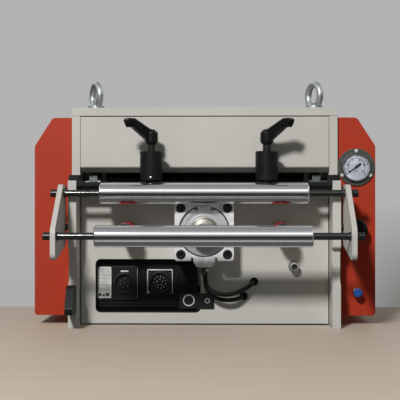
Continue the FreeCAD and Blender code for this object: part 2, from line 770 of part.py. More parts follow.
def encoder_connector():
    """Square-flanged encoder connector with two rings of pins."""
    face = MOTOR_Y - MOTOR_HALF
    base = square("xz", ENCODER_AT, 19.0, 3, face - 3, face)
    holes = []
    for u in (-1, 1):
        for v in (-1, 1):
            at = (ENCODER_AT[0] + 15 * u, ENCODER_AT[1] + 15 * v)
            holes.append(bar("y", at, 1.7, face - 4, face - 1))
    base = cut(base, holes)
    shell = ring("y", ENCODER_AT, 15.5, 13.4, face - 8, face - 2.9)
    pins = pin_circle(ENCODER_AT, 8.8, 11, face - 7, face - 2.9)
    pins += pin_circle(ENCODER_AT, 4.4, 5, face - 7, face - 2.9)
    return fuse([base, shell] + pins)


def swing_arms():
    """Bell-crank arms: pivot, upper roll bearing and the seat of the cross bar."""
    arms = []
    for side in (-1, 1):
        x = mirrored(side, ARM_IN, ARM_OUT)
        lever = [
            (PIVOT_Y - 12, PIVOT_Z - 4, 6),
            (PIVOT_Y - 12, RELEASE_Z - 16, 12),
            (PIVOT_Y + 12, RELEASE_Z - 16, 12),
            (PIVOT_Y + 12, PIVOT_Z - 8, 10),
            (ROLL_Y + 16, UPPER_ROLL_Z - 16, 12),
            (ROLL_Y + 16, UPPER_ROLL_Z + 18, 14),
            (ROLL_Y - 14, UPPER_ROLL_Z + 18, 12),
            (PIVOT_Y - 9, PIVOT_Z + 13, 8),
        ]
        arm = outline("yz", lever, x[0], x[1])
        holes = [
            bar("x", (PIVOT_Y, PIVOT_Z), PIVOT_R + RUN, x[0] - 1, x[1] + 1),
            bar("x", (ROLL_Y, UPPER_ROLL_Z), JOURNAL_R + RUN, x[0] - 1, x[1] + 1),
        ]
        arms.append(cut(arm, holes))
    return Part.makeCompound(arms)


def swing_bar():
    whole = bar("x", (PIVOT_Y, RELEASE_Z), SWING_BAR_R, -ARM_IN, ARM_IN)
    y = (PIVOT_Y - SWING_BAR_R - 1, PIVOT_Y + SWING_BAR_R + 1)
    holes = []
    for side in (-1, 1):
        holes.append(bar("y", (side * SPRING_X, RELEASE_Z), SPRING_BOLT_R + 2, y[0], y[1]))
    return cut(whole, holes)


def pivot_pins():
    pins = []
    for side in (-1, 1):
        x = mirrored(side, ARM_IN - 3, PLATE_OUT)
        head = mirrored(side, ARM_IN - 4, ARM_IN - 0.5)
        pin = bar("x", (PIVOT_Y, PIVOT_Z), PIVOT_R, x[0], x[1])
        pins.append(pin.fuse(bar("x", (PIVOT_Y, PIVOT_Z), 10.0, head[0], head[1])))
    return Part.makeCompound(pins)


def cylinder_body():
    """Compact square cylinder with a port boss below and sensor grooves beside it."""
    half = CYL_HALF
    bevel = 2.5
    z0 = RELEASE_Z - half
    z1 = RELEASE_Z + half
    profile = [
        (-half + bevel, z1, 0), (-half, z1 - bevel, 0), (-half, z0 + bevel, 0),
        (-half + bevel, z0, 0), (-16.25, z0, 0), (-15.6, z0 - 1.5, 0), (-10.8, z0 - CYL_BOSS_DROP, 0),
        (10.8, z0 - CYL_BOSS_DROP, 0), (15.6, z0 - 1.5, 0), (16.25, z0, 0), (half - bevel, z0, 0),
        (half, z0 + bevel, 0), (half, z1 - bevel, 0), (half - bevel, z1, 0),
    ]
    body = outline("xz", profile, CYL_FRONT, FRONT)
    holes = [
        bar("y", (0, RELEASE_Z), CYL_COVER_R + RUN, CYL_FRONT - 1, CYL_CHAMBER[0]),
        bar("y", (0, RELEASE_Z), CYL_BORE_R, CYL_CHAMBER[0] - 1, CYL_CHAMBER[1]),
        bar("y", (0, RELEASE_Z), ROD_R + RUN, CYL_CHAMBER[1] - 1, FRONT + 1),
    ]
    for side in (-1, 1):
        groove = (side * CYL_GROOVE_X - 1.7, side * CYL_GROOVE_X + 1.7)
        holes.append(block(groove, (CYL_FRONT - 1, FRONT + 1), (z0 - 5, z0 + 4.5)))
        for up in (-1, 1):
            at = (side * CYL_SCREW, RELEASE_Z + up * CYL_SCREW)
            holes.append(bar("y", at, CYL_COUNTERBORE_R, CYL_FRONT - 1, CYL_FRONT + CYL_COUNTERBORE_DEPTH))
            holes.append(bar("y", at, M8[0] / 2 + 0.4, CYL_FRONT, FRONT + 1))
    return cut(body, holes)


def cylinder_cover():
    at = (0, RELEASE_Z)
    disc = ring("y", at, CYL_COVER_R, ROD_R + RUN, CYL_COVER_FRONT, CYL_CHAMBER[0])
    return disc.cut(ring("y", at, 29.0, 24.0, CYL_COVER_FRONT - 1, CYL_COVER_FRONT + 1.2))


def cylinder_circlip():
    """Retaining ring, open at the top, with an eye at either end."""
    at = (0, RELEASE_Z)
    y = (CYL_COVER_FRONT - 1.4, CYL_COVER_FRONT)
    whole = ring("y", at, CYL_COVER_R, CYL_COVER_R - 1.9, y[0], y[1])
    opening = math.radians(19)
    reach = CYL_COVER_R + 5
    wedge = [(0, RELEASE_Z, 0)]
    for turn in (-opening, opening):
        wedge.append((reach * math.sin(turn), RELEASE_Z + reach * math.cos(turn), 0))
    whole = whole.cut(outline("xz", wedge, y[0] - 1, y[1] + 1))
    for turn in (-1, 1):
        angle = turn * math.radians(20.5)
        eye_r = CYL_COVER_R - 2.9
        eye = (eye_r * math.sin(angle), RELEASE_Z + eye_r * math.cos(angle))
        whole = whole.fuse(bar("y", eye, 2.5, y[0], y[1]))
        whole = whole.cut(bar("y", eye, 0.9, y[0] - 1, y[1] + 1))
    return whole


def cylinder_rod():
    """Through rod with its piston inside and a stroke-limiting nut in front."""
    at = (0, RELEASE_Z)
    rear = PIVOT_Y - SWING_BAR_R - LINK_GAP
    rod = bar("y", at, ROD_R, ROD_FRONT, rear)
    piston = bar("y", at, CYL_BORE_R - RUN, CYL_CHAMBER[0] + 0.5, CYL_CHAMBER[0] + 10.5)
    face = ROD_FRONT + 2.0
    nut = bar("y", at, ROD_NUT_R, face + ROD_NUT_CONE, CYL_COVER_FRONT - 8.5)
    cone = Part.makeCone(ROD_NUT_FACE_R, ROD_NUT_R, ROD_NUT_CONE, V(0, face, RELEASE_Z), V(0, 1, 0))
    whole = fuse([rod, piston, nut, cone])
    return whole.cut(bar("y", at, 3.4, ROD_FRONT - 1, ROD_FRONT + 16))


def hose_fittings():
    """Push-in fittings that point down from the cylinder's port boss."""
    boss = RELEASE_Z - CYL_HALF - CYL_BOSS_DROP
    fittings = []
    for y in FITTING_Y:
        at = (FITTING_X, y)
        pieces = [bar("z", at, 5.6, FITTING_END + 3, boss), bar("z", at, 4.6, FITTING_END, FITTING_END + 3)]
        fitting = fuse(pieces).cut(bar("z", at, HOSE_R, FITTING_END - 1, FITTING_END + 7))
        fittings.append(fitting)
    return Part.makeCompound(fittings)


def spring_rods():
    """The bolts that carry the die springs, with a washer and a nut at either end."""
    rods = []
    back = PIVOT_Y + SWING_BAR_R + 0.5
    for side in (-1, 1):
        at = (side * SPRING_X, RELEASE_Z)
        pieces = [
            bar("y", at, SPRING_BOLT_R, SPRING_BOLT_FRONT, back + 11),
            bar("y", at, 12.5, SPRING_END - 2.4, SPRING_END),
            bar("y", at, 10.5, back, back + 2),
            placed(hexagon(18.0, 9.0), (at[0], SPRING_END - 2.2, at[1]), (0, -1, 0)),
            placed(hexagon(17.0, 8.0), (at[0], back + 1.8, at[1]), (0, 1, 0)),
        ]
        rods.append(fuse(pieces))
    return Part.makeCompound(rods)


def die_springs():
    """Each spring as a plain tube of its own size."""
    springs = []
    for side in (-1, 1):
        at = (side * SPRING_X, RELEASE_Z)
        springs.append(ring("y", at, SPRING_R, SPRING_BORE_R, SPRING_END + 0.1, FRONT - 0.1))
    return Part.makeCompound(springs)


def hose(points):
    """A round hose along straight runs joined by tangent arcs; prints each arc's radius."""
    route = [V(*p) for p in points]
    edges = []
    length = 0.0
    last = route[0]
    radii = []
    for i in range(1, len(route) - 1):
        back = route[i - 1] - route[i]
        ahead = route[i + 1] - route[i]
        shorter = min(back.Length, ahead.Length)
        turn = math.pi - back.getAngle(ahead)
        radius = 0.45 * shorter / math.tan(turn / 2)
        first, middle, following = corner(route[i - 1], route[i], route[i + 1], radius)
        edges.append(Part.LineSegment(last, first).toShape())
        edges.append(Part.Arc(first, middle, following).toShape())
        length += (first - last).Length + radius * turn
        radii.append(round(radius, 1))
        last = following
    edges.append(Part.LineSegment(last, route[-1]).toShape())
    length += (route[-1] - last).Length
    circle = Part.makeCircle(HOSE_R, route[0], route[1] - route[0])
    tube = Part.Wire(edges).makePipeShell([Part.Wire([circle])], True, True)
    section = math.pi * HOSE_R ** 2
    print("hose radii", radii, "length", round(length, 1))
    print("hose volume over section times length", round(tube.Volume / (section * length), 4))
    return tube


def hose_front():
    x, z = HOSE_FRONT_HOLE
    return hose([
        (FITTING_X, FITTING_Y[0], FITTING_END + 6),
        (FITTING_X, FITTING_Y[0], FITTING_END - 11),
        (7.5, -127.5, 54.5),
        (21.0, -128.5, 48.0),
        (38.0, -126.5, 47.0),
        (58.0, -119.5, 54.0),
        (x, -107.5, z),
        (x, HOSE_END, z),
    ])


def hose_rear():
    x, z = HOSE_REAR_HOLE
    return hose([
        (FITTING_X, FITTING_Y[1], FITTING_END + 6),
        (FITTING_X, FITTING_Y[1], FITTING_END - 13),
        (5.0, -110.5, 50.5),
        (15.0, -113.5, 42.0),
        (30.0, -115.5, 38.0),
        (46.0, -113.5, 39.0),
        (x, -105.0, z),
        (x, HOSE_END, z),
    ])


def hose_grommets():
    grommets = []
    for hole in (HOSE_FRONT_HOLE, HOSE_REAR_HOLE):
        sleeve = ring("y", hole, GROMMET_R, HOSE_R, FRONT, FRONT + PANEL_THICK)
        flange = ring("y", hole, 6.0, HOSE_R, FRONT - 1.6, FRONT)
        grommets.append(fuse([sleeve, flange]))
    return Part.makeCompound(grommets)


def valve_body():
    """Solenoid valve behind the panel, where both hoses end."""
    body = block((48.0, 86.0), (HOSE_END, HOSE_END + 26), (30.0, 76.0))
    coil = square("xz", (67.0, 92.0), 13.0, 3, HOSE_END + 2, HOSE_END + 24)
    return fuse([body, coil])


def bulkhead_tube():
    return ring("y", TUBE_AT, TUBE_R, TUBE_BORE_R, FRONT - 13, FRONT + 12)


def gauge_case():
    """Flanged gauge: body behind the cover, flange, raised rim and three screw heads."""
    front = COVER_FRONT
    pieces = [
        bar("y", GAUGE_AT, 19.0, front - 2, front + 24),
        bar("y", GAUGE_AT, GAUGE_FLANGE_R, front - 3, front),
        ring("y", GAUGE_AT, GAUGE_RIM_R, 19.6, front - 8, front - 2.9),
    ]
    for i in range(3):
        angle = math.radians(90 + 120 * i)
        reach = GAUGE_SCREW_AT
        at = (GAUGE_AT[0] + reach * math.cos(angle), GAUGE_AT[1] + reach * math.sin(angle))
        pieces.append(bar("y", at, GAUGE_SCREW_R, front - 4.4, front - 2.9))
    return fuse(pieces)


def gauge_needle():
    """Pointer with its hub, at rest on zero at the lower left."""
    y0 = COVER_FRONT - 6.2
    pointer = [
        (-1.5, -8.4, 0.7), (1.5, -8.4, 0.7), (1.5, -1.0, 0), (1.0, 0, 0),
        (0.5, 14.0, 0), (-0.5, 14.0, 0), (-1.0, 0, 0), (-1.5, -1.0, 0),
    ]
    needle = outline("xz", pointer, y0, y0 + 0.8)
    hub = Part.makeCylinder(1.7, 2.3, V(0, y0 - 0.2, 0), V(0, 1, 0))
    needle = fuse([needle, hub])
    needle.rotate(V(0, 0, 0), V(0, 1, 0), GAUGE_ZERO)
    needle.translate(V(GAUGE_AT[0], 0, GAUGE_AT[1]))
    return needle


def regulator_knob():
    """Ribbed adjusting knob on the stem of a pressure regulator."""
    y = (COVER_FRONT - 25, COVER_FRONT - 2)
    knob = bar("y", KNOB_AT, KNOB_R, y[0], y[1])
    rim = [e for e in knob.Edges if len(e.Vertexes) == 1 and abs(e.CenterOfMass.y - y[0]) < 0.01]
    knob = knob.makeChamfer(1.5, rim)
    flutes = []
    for i in range(18):
        angle = 2 * math.pi * i / 18
        reach = KNOB_R + 0.5
        at = (KNOB_AT[0] + reach * math.cos(angle), KNOB_AT[1] + reach * math.sin(angle))
        flutes.append(bar("y", at, 1.1, y[0] + 3, y[1] - 3))
    knob = cut(knob, flutes)
    return fuse([knob, bar("y", KNOB_AT, STEM_R, COVER_FRONT - 3, COVER_FRONT + 6)])


def regulator_body():
    """Regulator behind the cover, open in front for the knob's stem."""
    x = (KNOB_AT[0] - 17, KNOB_AT[0] + 17)
    z = (KNOB_AT[1] - 17, KNOB_AT[1] + 17)
    body = block(x, (COVER_FRONT + COVER_SHEET, -60.0), z)
    return body.cut(bar("y", KNOB_AT, STEM_R + RUN, COVER_FRONT, COVER_FRONT + 7))


def inlet_fitting():
    """Push-in air inlet: a round sleeve through the cover, with a flange behind it."""
    flange = ring("y", INLET_AT, 10.0, INLET_R - 0.5, COVER_FRONT + COVER_SHEET, COVER_FRONT + 7)
    sleeve = ring("y", INLET_AT, INLET_R, AIR_TUBE_R, COVER_FRONT - 9, COVER_FRONT + 28)
    return fuse([sleeve, flange])


def inlet_collar():
    """Release collar that is pushed in to let the tube go."""
    return ring("y", INLET_AT, 6.3, 3.6, COVER_FRONT - 18, COVER_FRONT - 11)


PARTS = {
    "side_plate_left": side_plate(-1),
    "side_plate_right": side_plate(1),
    "top_plate": top_plate(),
    "entry_panel": entry_panel(),
    "upper_cover": upper_cover(),
    "rear_panel": rear_panel(),
    "tie_bars": tie_bars(),
    "eye_bolts": eye_bolts(),
    "side_cover_left": side_cover(-1),
    "side_cover_right": side_cover(1),
    "cover_screws": cover_screws(),
    "socket_screws": socket_screws(),
    "nose_caps": nose_caps(),
    "guide_bar": guide_bar(),
    "sensor_block": sensor_block(),
    "window_clip": window_clip(),
    "entry_arm_left": entry_arm(-1),
    "entry_arm_right": entry_arm(1),
    "arm_spacers": arm_spacers(),
    "entry_shafts": entry_shafts(),
    "upper_entry_roller": entry_roller(UPPER_ENTRY),
    "lower_entry_roller": entry_roller(LOWER_ENTRY),
    "lower_feed_roll": lower_feed_roll(),
    "upper_feed_roll": upper_feed_roll(),
    "roll_bearings": roll_bearings(),
    "lower_gear": gear(LOWER_ROLL_Z, math.pi / 2),
    "upper_gear": gear(UPPER_ROLL_Z, -math.pi / 2 + math.pi / GEAR_TEETH),
    "motor_body": motor_body(),
    "motor_pulley": motor_pulley(),
    "roll_pulley": roll_pulley(),
    "drive_belt": drive_belt(),
    "power_connector": power_connector(),
    "encoder_connector": encoder_connector(),
    "swing_arms": swing_arms(),
    "swing_bar": swing_bar(),
    "pivot_pins": pivot_pins(),
    "cylinder_body": cylinder_body(),
    "cylinder_cover": cylinder_cover(),
    "cylinder_circlip": cylinder_circlip(),
    "cylinder_rod": cylinder_rod(),
    "hose_fittings": hose_fittings(),
    "spring_rods": spring_rods(),
    "die_springs": die_springs(),
    "hose_front": hose_front(),
    "hose_rear": hose_rear(),
    "hose_grommets": hose_grommets(),
    "valve_body": valve_body(),
    "bulkhead_tube": bulkhead_tube(),
    "gauge_case": gauge_case(),
    "gauge_needle": gauge_needle(),
    "regulator_body": regulator_body(),
    "regulator_knob": regulator_knob(),
    "inlet_fitting": inlet_fitting(),
    "inlet_collar": inlet_collar(),
}
for guide, guide_x in GUIDE_X.items():
    PARTS["guide_stud_" + guide] = guide_stud(guide_x)
    PARTS["guide_roller_" + guide] = guide_roller(guide_x)
    PARTS["clamp_lever_" + guide] = clamp_lever(guide_x, 1 if guide_x > 0 else -1)

os.makedirs("parts", exist_ok=True)
for node, shape in PARTS.items():
    shape.exportStep("parts/" + node + ".step")
print(len(PARTS), "nodes,", sum(len(s.Solids) for s in PARTS.values()), "solids")
print("not valid:", [node for node, s in PARTS.items() if not s.isValid()])
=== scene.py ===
import math

import bmesh
import bpy
from mathutils import Matrix, Vector


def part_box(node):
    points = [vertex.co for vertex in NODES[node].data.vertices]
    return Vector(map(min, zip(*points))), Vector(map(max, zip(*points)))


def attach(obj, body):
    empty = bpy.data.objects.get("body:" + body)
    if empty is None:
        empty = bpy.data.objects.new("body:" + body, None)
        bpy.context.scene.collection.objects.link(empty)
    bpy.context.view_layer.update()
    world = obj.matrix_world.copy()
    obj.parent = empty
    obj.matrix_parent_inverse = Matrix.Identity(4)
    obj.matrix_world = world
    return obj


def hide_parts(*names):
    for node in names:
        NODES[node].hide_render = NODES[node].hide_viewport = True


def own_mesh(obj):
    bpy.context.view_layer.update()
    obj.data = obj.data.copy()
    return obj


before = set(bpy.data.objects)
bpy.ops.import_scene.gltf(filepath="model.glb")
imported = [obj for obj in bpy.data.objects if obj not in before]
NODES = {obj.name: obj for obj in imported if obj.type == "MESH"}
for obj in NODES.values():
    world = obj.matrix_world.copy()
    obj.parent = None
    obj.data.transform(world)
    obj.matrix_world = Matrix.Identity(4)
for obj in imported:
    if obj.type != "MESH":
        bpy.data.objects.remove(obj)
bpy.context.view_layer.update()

# The looks of a two-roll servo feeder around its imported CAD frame, in metres.
# The camera stands on the strip's entry side and looks along +Y.

MM = 0.001

CAMERA_AT = (0.018, -1.598, 0.184)
CAMERA_TURN = 0.94                  # degrees to the left, which brings the machine into the middle
CAMERA_LENS = 91.8
SENSOR = 36.0
KEY_AT = (-0.75, -2.57, 1.72)
KEY_TARGET = (0.0, -0.1, 0.18)

# Places and sizes, in millimetres where nothing else is said
ROLLER_HOLE = (0.0, 4.6)            # set screw on a guide roller: across, above its foot
GAUGE_ZERO = -127.0                 # first mark of the dial, in degrees from straight up
GAUGE_SWEEP = 254.0
EARTH_AT = (-23.0, 36.6)            # earth terminal on the black bracket: x and z
CLIP_SCREW_AT = (4.3, 36.1)         # the bracket's screw
SPRING_TURNS = 8.0
SPRING_WIRE = (5.4, 3.3)            # radial and axial size of the flat wire
HOSE_DIAMETER = 6.35
LABEL_X = (-159.2, -138.7)          # data plate on the motor's face
LABEL_Z = (38.0, 84.7)
PRINT = (0.42, 0.30)                # how far the print's front and back stand out
# Bright tab on top of the power connector, a painted highlight: x and z
POWER_HIGHLIGHT_X = (-124.4, -112.8)
POWER_HIGHLIGHT_Z = (77.4, 79.5)
BORE_SHADE_R = (4.5, 3.8)                # black sleeve in the bulkhead tube, painted as the shade in its bore: outer and bore
SEAL_R = (18.3, 19.4)               # seal ring in the cone of the stroke-limiting nut
BRACKET_THICK = 2.0                 # sheet of the black bracket

# Places in metres
CYLINDER_AXIS = (0.0, 0.139)        # x and z of the release cylinder's axis


# ---------------------------------------------------------------- materials

class Finish:
    """A Principled material with helpers for its procedural detail."""

    def __init__(self, name, colour, rough, metal=0.0, **sockets):
        self.material = bpy.data.materials.new(name)
        self.material.use_nodes = True
        self.tree = self.material.node_tree
        self.shader = self.tree.nodes["Principled BSDF"]
        self.colour = tuple(colour) + (1.0,)
        self.set(**{"Base Color": self.colour, "Roughness": rough, "Metallic": metal})
        self.set(**sockets)
        self.place = self.tree.nodes.new("ShaderNodeTexCoord").outputs["Object"]

    def set(self, **sockets):
        for name, value in sockets.items():
            self.shader.inputs[name].default_value = value

    def link(self, source, target):
        self.tree.links.new(source, target)

    def node(self, kind, inputs=(), **settings):
        """A new node; inputs lists (socket, value or the output that feeds it)."""
        new = self.tree.nodes.new(kind)
        for name, value in settings.items():
            setattr(new, name, value)
        for socket, value in inputs:
            if isinstance(value, bpy.types.NodeSocket):
                self.link(value, new.inputs[socket])
            else:
                new.inputs[socket].default_value = value
        return new

    def noise(self, scale, stretch=(1, 1, 1), detail=3.0, rough=0.55):
        grid = self.node("ShaderNodeMapping", [("Vector", self.place), ("Scale", stretch)])
        texture = self.node("ShaderNodeTexNoise", [
            ("Vector", grid.outputs[0]), ("Scale", scale), ("Detail", detail), ("Roughness", rough)])
        return texture.outputs["Fac"]

    def span(self, value, low, high, first=0.0, last=1.0):
        """Maps low..high onto first..last, with the ends held."""
        mapped = self.node("ShaderNodeMapRange", [
            ("Value", value), ("From Min", low), ("From Max", high), ("To Min", first), ("To Max", last)])
        return mapped.outputs["Result"]

    def maths(self, operation, a, b=0.0):
        return self.node("ShaderNodeMath", [(0, a), (1, b)], operation=operation).outputs[0]

    def mix(self, factor, first, second):
        """A colour between two colours or colour outputs."""
        blend = self.node("ShaderNodeMix", data_type="RGBA")
        for socket, value in ((0, factor), (6, first), (7, second)):
            if isinstance(value, bpy.types.NodeSocket):
                self.link(value, blend.inputs[socket])
            else:
                blend.inputs[socket].default_value = value
        return blend.outputs[2]

    def paint(self, colour):
        self.link(colour, self.shader.inputs["Base Color"])

    def roughen(self, value):
        self.link(value, self.shader.inputs["Roughness"])

    def tint(self, share):
        return tuple(c * share for c in self.colour[:3]) + (1.0,)

    def edges(self, radius):
        """Rounds the shading of sharp edges; returns a mask that is 1 on them."""
        bevel = self.node("ShaderNodeBevel", [("Radius", radius)], samples=6)
        shape = self.node("ShaderNodeNewGeometry")
        facing = self.node("ShaderNodeVectorMath", [
            (0, bevel.outputs[0]), (1, shape.outputs["True Normal"])], operation="DOT_PRODUCT")
        self.rounded = bevel.outputs[0]
        return self.span(facing.outputs["Value"], 0.98, 0.80)

    def bump(self, height, distance, strength=1.0):
        relief = self.node("ShaderNodeBump", [
            ("Height", height), ("Distance", distance), ("Strength", strength)])
        if getattr(self, "rounded", None):
            self.link(self.rounded, relief.inputs["Normal"])
        self.rounded = relief.outputs[0]
        self.link(relief.outputs[0], self.shader.inputs["Normal"])

    def axis(self, name):
        return self.node("ShaderNodeSeparateXYZ", [(0, self.place)]).outputs[name]

    def away(self, centre):
        """Distance from a line along Y through centre (x, z)."""
        squares = []
        for name, at in zip("XZ", centre):
            offset = self.maths("SUBTRACT", self.axis(name), at)
            squares.append(self.maths("MULTIPLY", offset, offset))
        return self.maths("SQRT", self.maths("ADD", *squares))


def powder_coat(name, colour, rough, grain, relief, fleck=0.05, edge_wear_and_highlight=0.10):
    """Sprayed powder coat: fine relief, faint clouding, and edges painted lighter, as a painted highlight
    where they catch the light and as some wear.
    """
    finish = Finish(name, colour, rough, **{"Specular IOR Level": 0.25})
    on_edge = finish.edges(0.0008)
    cloud = finish.span(finish.noise(14.0, detail=5.0), 0.30, 0.70)
    shade = finish.mix(cloud, finish.tint(0.955), finish.tint(1.03))
    speck = finish.span(finish.noise(grain * 1.7, detail=2.0), 0.35, 0.65)
    shade = finish.mix(finish.maths("MULTIPLY", speck, fleck), shade, finish.tint(0.35))
    # Edges are painted lighter: a painted highlight, with some wear.
    shade = finish.mix(finish.maths("MULTIPLY", on_edge, edge_wear_and_highlight), shade, (0.9, 0.88, 0.84, 1.0))
    finish.paint(shade)
    smear = finish.noise(55.0, detail=6.0)
    finish.roughen(finish.span(smear, 0.30, 0.70, rough - 0.06, rough + 0.07))
    finish.bump(finish.noise(grain, detail=3.0), relief)
    return finish.material


def ground_metal(name, colour, rough, lines, stretch, relief=0.0000025, stain=0.10):
    """Turned, ground or drawn metal: fine lines across the stretched axis."""
    finish = Finish(name, colour, rough, 1.0)
    finish.edges(0.0005)
    line = finish.noise(lines, stretch, detail=5.0, rough=0.7)
    cloud = finish.span(finish.noise(35.0, detail=5.0), 0.35, 0.70)
    shade = finish.mix(finish.span(line, 0.35, 0.65), finish.tint(0.88), finish.tint(1.05))
    shade = finish.mix(finish.maths("MULTIPLY", cloud, stain), shade, finish.tint(0.55))
    finish.paint(shade)
    finish.roughen(finish.span(line, 0.30, 0.70, rough * 0.8, rough * 1.35))
    finish.bump(line, relief)
    return finish.material


def plated_steel(name, colour, rough, edge_wear_and_highlight=0.35):
    """Plated or oxidised small parts: cloudy finish, with edges painted brighter for wear and as a painted
    highlight.
    """
    finish = Finish(name, colour, rough, 1.0)
    on_edge = finish.edges(0.0004)
    cloud = finish.span(finish.noise(180.0, detail=6.0), 0.30, 0.70)
    shade = finish.mix(cloud, finish.tint(0.80), finish.tint(1.12))
    # Edges are painted brighter: wear, and a painted highlight where they catch the light.
    shade = finish.mix(finish.maths("MULTIPLY", on_edge, edge_wear_and_highlight), shade, (0.62, 0.62, 0.62, 1.0))
    finish.paint(shade)
    finish.roughen(finish.span(finish.noise(420.0), 0.3, 0.7, rough * 0.85, rough * 1.25))
    finish.bump(finish.noise(1600.0, detail=2.0), 0.000012)
    return finish.material


def moulded(name, colour, rough, grain=2400.0, relief=0.00003, **sockets):
    """Moulded or painted black parts with a fine grain."""
    finish = Finish(name, colour, rough, **sockets)
    on_edge = finish.edges(0.0006)
    grime = finish.span(finish.noise(70.0, detail=6.0), 0.35, 0.75)
    shade = finish.mix(grime, finish.tint(0.85), finish.tint(1.35))
    # Edges are painted a little lighter: a painted highlight, with light wear.
    shade = finish.mix(finish.maths("MULTIPLY", on_edge, 0.06), shade, (0.5, 0.5, 0.5, 1.0))
    finish.paint(shade)
    finish.roughen(finish.span(finish.noise(160.0, detail=4.0), 0.3, 0.7, rough - 0.07, rough + 0.08))
    finish.bump(finish.noise(grain, detail=2.0), relief)
    return finish.material


def turned_metal(name, colour, rough, lines=1400.0):
    """A faced end: fine rings round the cylinder's axis."""
    finish = Finish(name, colour, rough, 1.0)
    finish.edges(0.0005)
    round_it = finish.node("ShaderNodeCombineXYZ", [("X", finish.away(CYLINDER_AXIS))])
    texture = finish.node("ShaderNodeTexNoise", [
        ("Vector", round_it.outputs[0]), ("Scale", lines), ("Detail", 4.0), ("Roughness", 0.7)])
    line = texture.outputs["Fac"]
    cloud = finish.span(finish.noise(60.0, detail=5.0), 0.35, 0.70)
    shade = finish.mix(finish.span(line, 0.35, 0.65), finish.tint(0.72), finish.tint(1.15))
    finish.paint(finish.mix(finish.maths("MULTIPLY", cloud, 0.15), shade, finish.tint(0.5)))
    finish.roughen(finish.span(line, 0.30, 0.70, rough * 0.8, rough * 1.3))
    finish.bump(line, 0.000008)
    return finish.material


def connector(name, centre, inside, pin_level, rim, pin_colour):
    """A connector: black shell with its outer edges painted light, as a bared rim and as a painted highlight,
    and metal pins in front of its insert.
    """
    finish = Finish(name, (0.012, 0.012, 0.013), 0.42, **{"Specular IOR Level": 0.3})
    on_edge = finish.edges(0.0011)
    inner = finish.maths("LESS_THAN", finish.away(centre), inside)
    pins = finish.maths("MULTIPLY", inner, finish.maths("LESS_THAN", finish.axis("Y"), pin_level))
    fine = finish.span(finish.noise(900.0), 0.3, 0.7)
    shade = finish.mix(fine, finish.tint(0.7), finish.tint(1.4))
    outer = finish.maths("SUBTRACT", 1.0, inner)
    # Outer edges painted light: bared metal and a painted highlight.
    rim_bare_and_lit = finish.maths("MULTIPLY", finish.maths("MULTIPLY", on_edge, outer), rim)
    shade = finish.mix(rim_bare_and_lit, shade, (0.62, 0.62, 0.60, 1.0))
    finish.paint(finish.mix(pins, shade, pin_colour))
    finish.link(pins, finish.shader.inputs["Metallic"])
    finish.roughen(finish.span(finish.noise(300.0), 0.3, 0.7, 0.36, 0.48))
    finish.bump(finish.noise(1500.0), 0.00001)
    return finish.material


DULL = {"Specular IOR Level": 0.22}
GLOSSY = {"Specular IOR Level": 0.9}

WHITE = powder_coat("white_powder_coat", (0.700, 0.690, 0.640), 0.46, 620.0, 0.00005, fleck=0.02, edge_wear_and_highlight=0.5)
RED = powder_coat("red_powder_coat", (0.560, 0.050, 0.018), 0.50, 900.0, 0.00016, fleck=0.22, edge_wear_and_highlight=0.05)
CHROME = ground_metal("ground_chrome", (0.88, 0.88, 0.90), 0.08, 1.0, (2600, 30, 30), 0.000001)
# The feed rolls' steel is painted dark, as painted shade for the dark inside of the machine they reflect.
SHADED_ROLL_STEEL = ground_metal("feed_roll_steel_shaded", (0.10, 0.10, 0.105), 0.22, 1.0, (2600, 30, 30), 0.000001)
ARM_STEEL = plated_steel("swing_arm_steel", (0.095, 0.105, 0.108), 0.55)
MACHINED = ground_metal("machined_steel", (0.30, 0.29, 0.27), 0.34, 1.0, (900, 300, 300))
ALUMINIUM = ground_metal("turned_aluminium", (0.66, 0.68, 0.70), 0.40, 1.0, (700, 90, 700), 0.000006)
CYLINDER_WHITE = moulded("anodised_white", (0.90, 0.90, 0.92), 0.50, 900.0, 0.00001, Metallic=0.25)
HUB = turned_metal("faced_steel", (0.27, 0.26, 0.235), 0.42)
# Light grey for bare metal, and for pieces that stand in for highlights.
BARE_METAL_AND_HIGHLIGHT = moulded("bare_metal_and_highlight", (0.78, 0.78, 0.76), 0.35, 900.0, 0.00001)
ZINC = plated_steel("zinc_steel", (0.66, 0.66, 0.67), 0.30)
EYE_ZINC = plated_steel("dull_zinc", (0.50, 0.53, 0.54), 0.46)
ZINC_DARK = plated_steel("dark_steel", (0.11, 0.11, 0.115), 0.30, edge_wear_and_highlight=0.15)
OXIDE = moulded("black_oxide", (0.008, 0.008, 0.008), 0.34, 900.0, 0.000004)
SHAFT_BLACK = moulded("polished_black_shaft", (0.008, 0.008, 0.008), 0.17, 700.0, 0.000002, **GLOSSY)
BLACK_BAR = moulded("black_anodised", (0.018, 0.018, 0.019), 0.36, 1500.0, 0.00001, **DULL)
ROLLER_BLACK = moulded("black_roller", (0.007, 0.007, 0.007), 0.42, 900.0, 0.00002, **DULL)
LEVER_BLACK = moulded("black_lever", (0.004, 0.004, 0.004), 0.33, 1900.0, 0.00004, **DULL)
MOTOR_BLACK = moulded("motor_paint", (0.005, 0.005, 0.005), 0.45, 1300.0, 0.00005, **DULL)
RUBBER = moulded("hose_black", (0.006, 0.006, 0.006), 0.36, 800.0, 0.00001, **DULL)
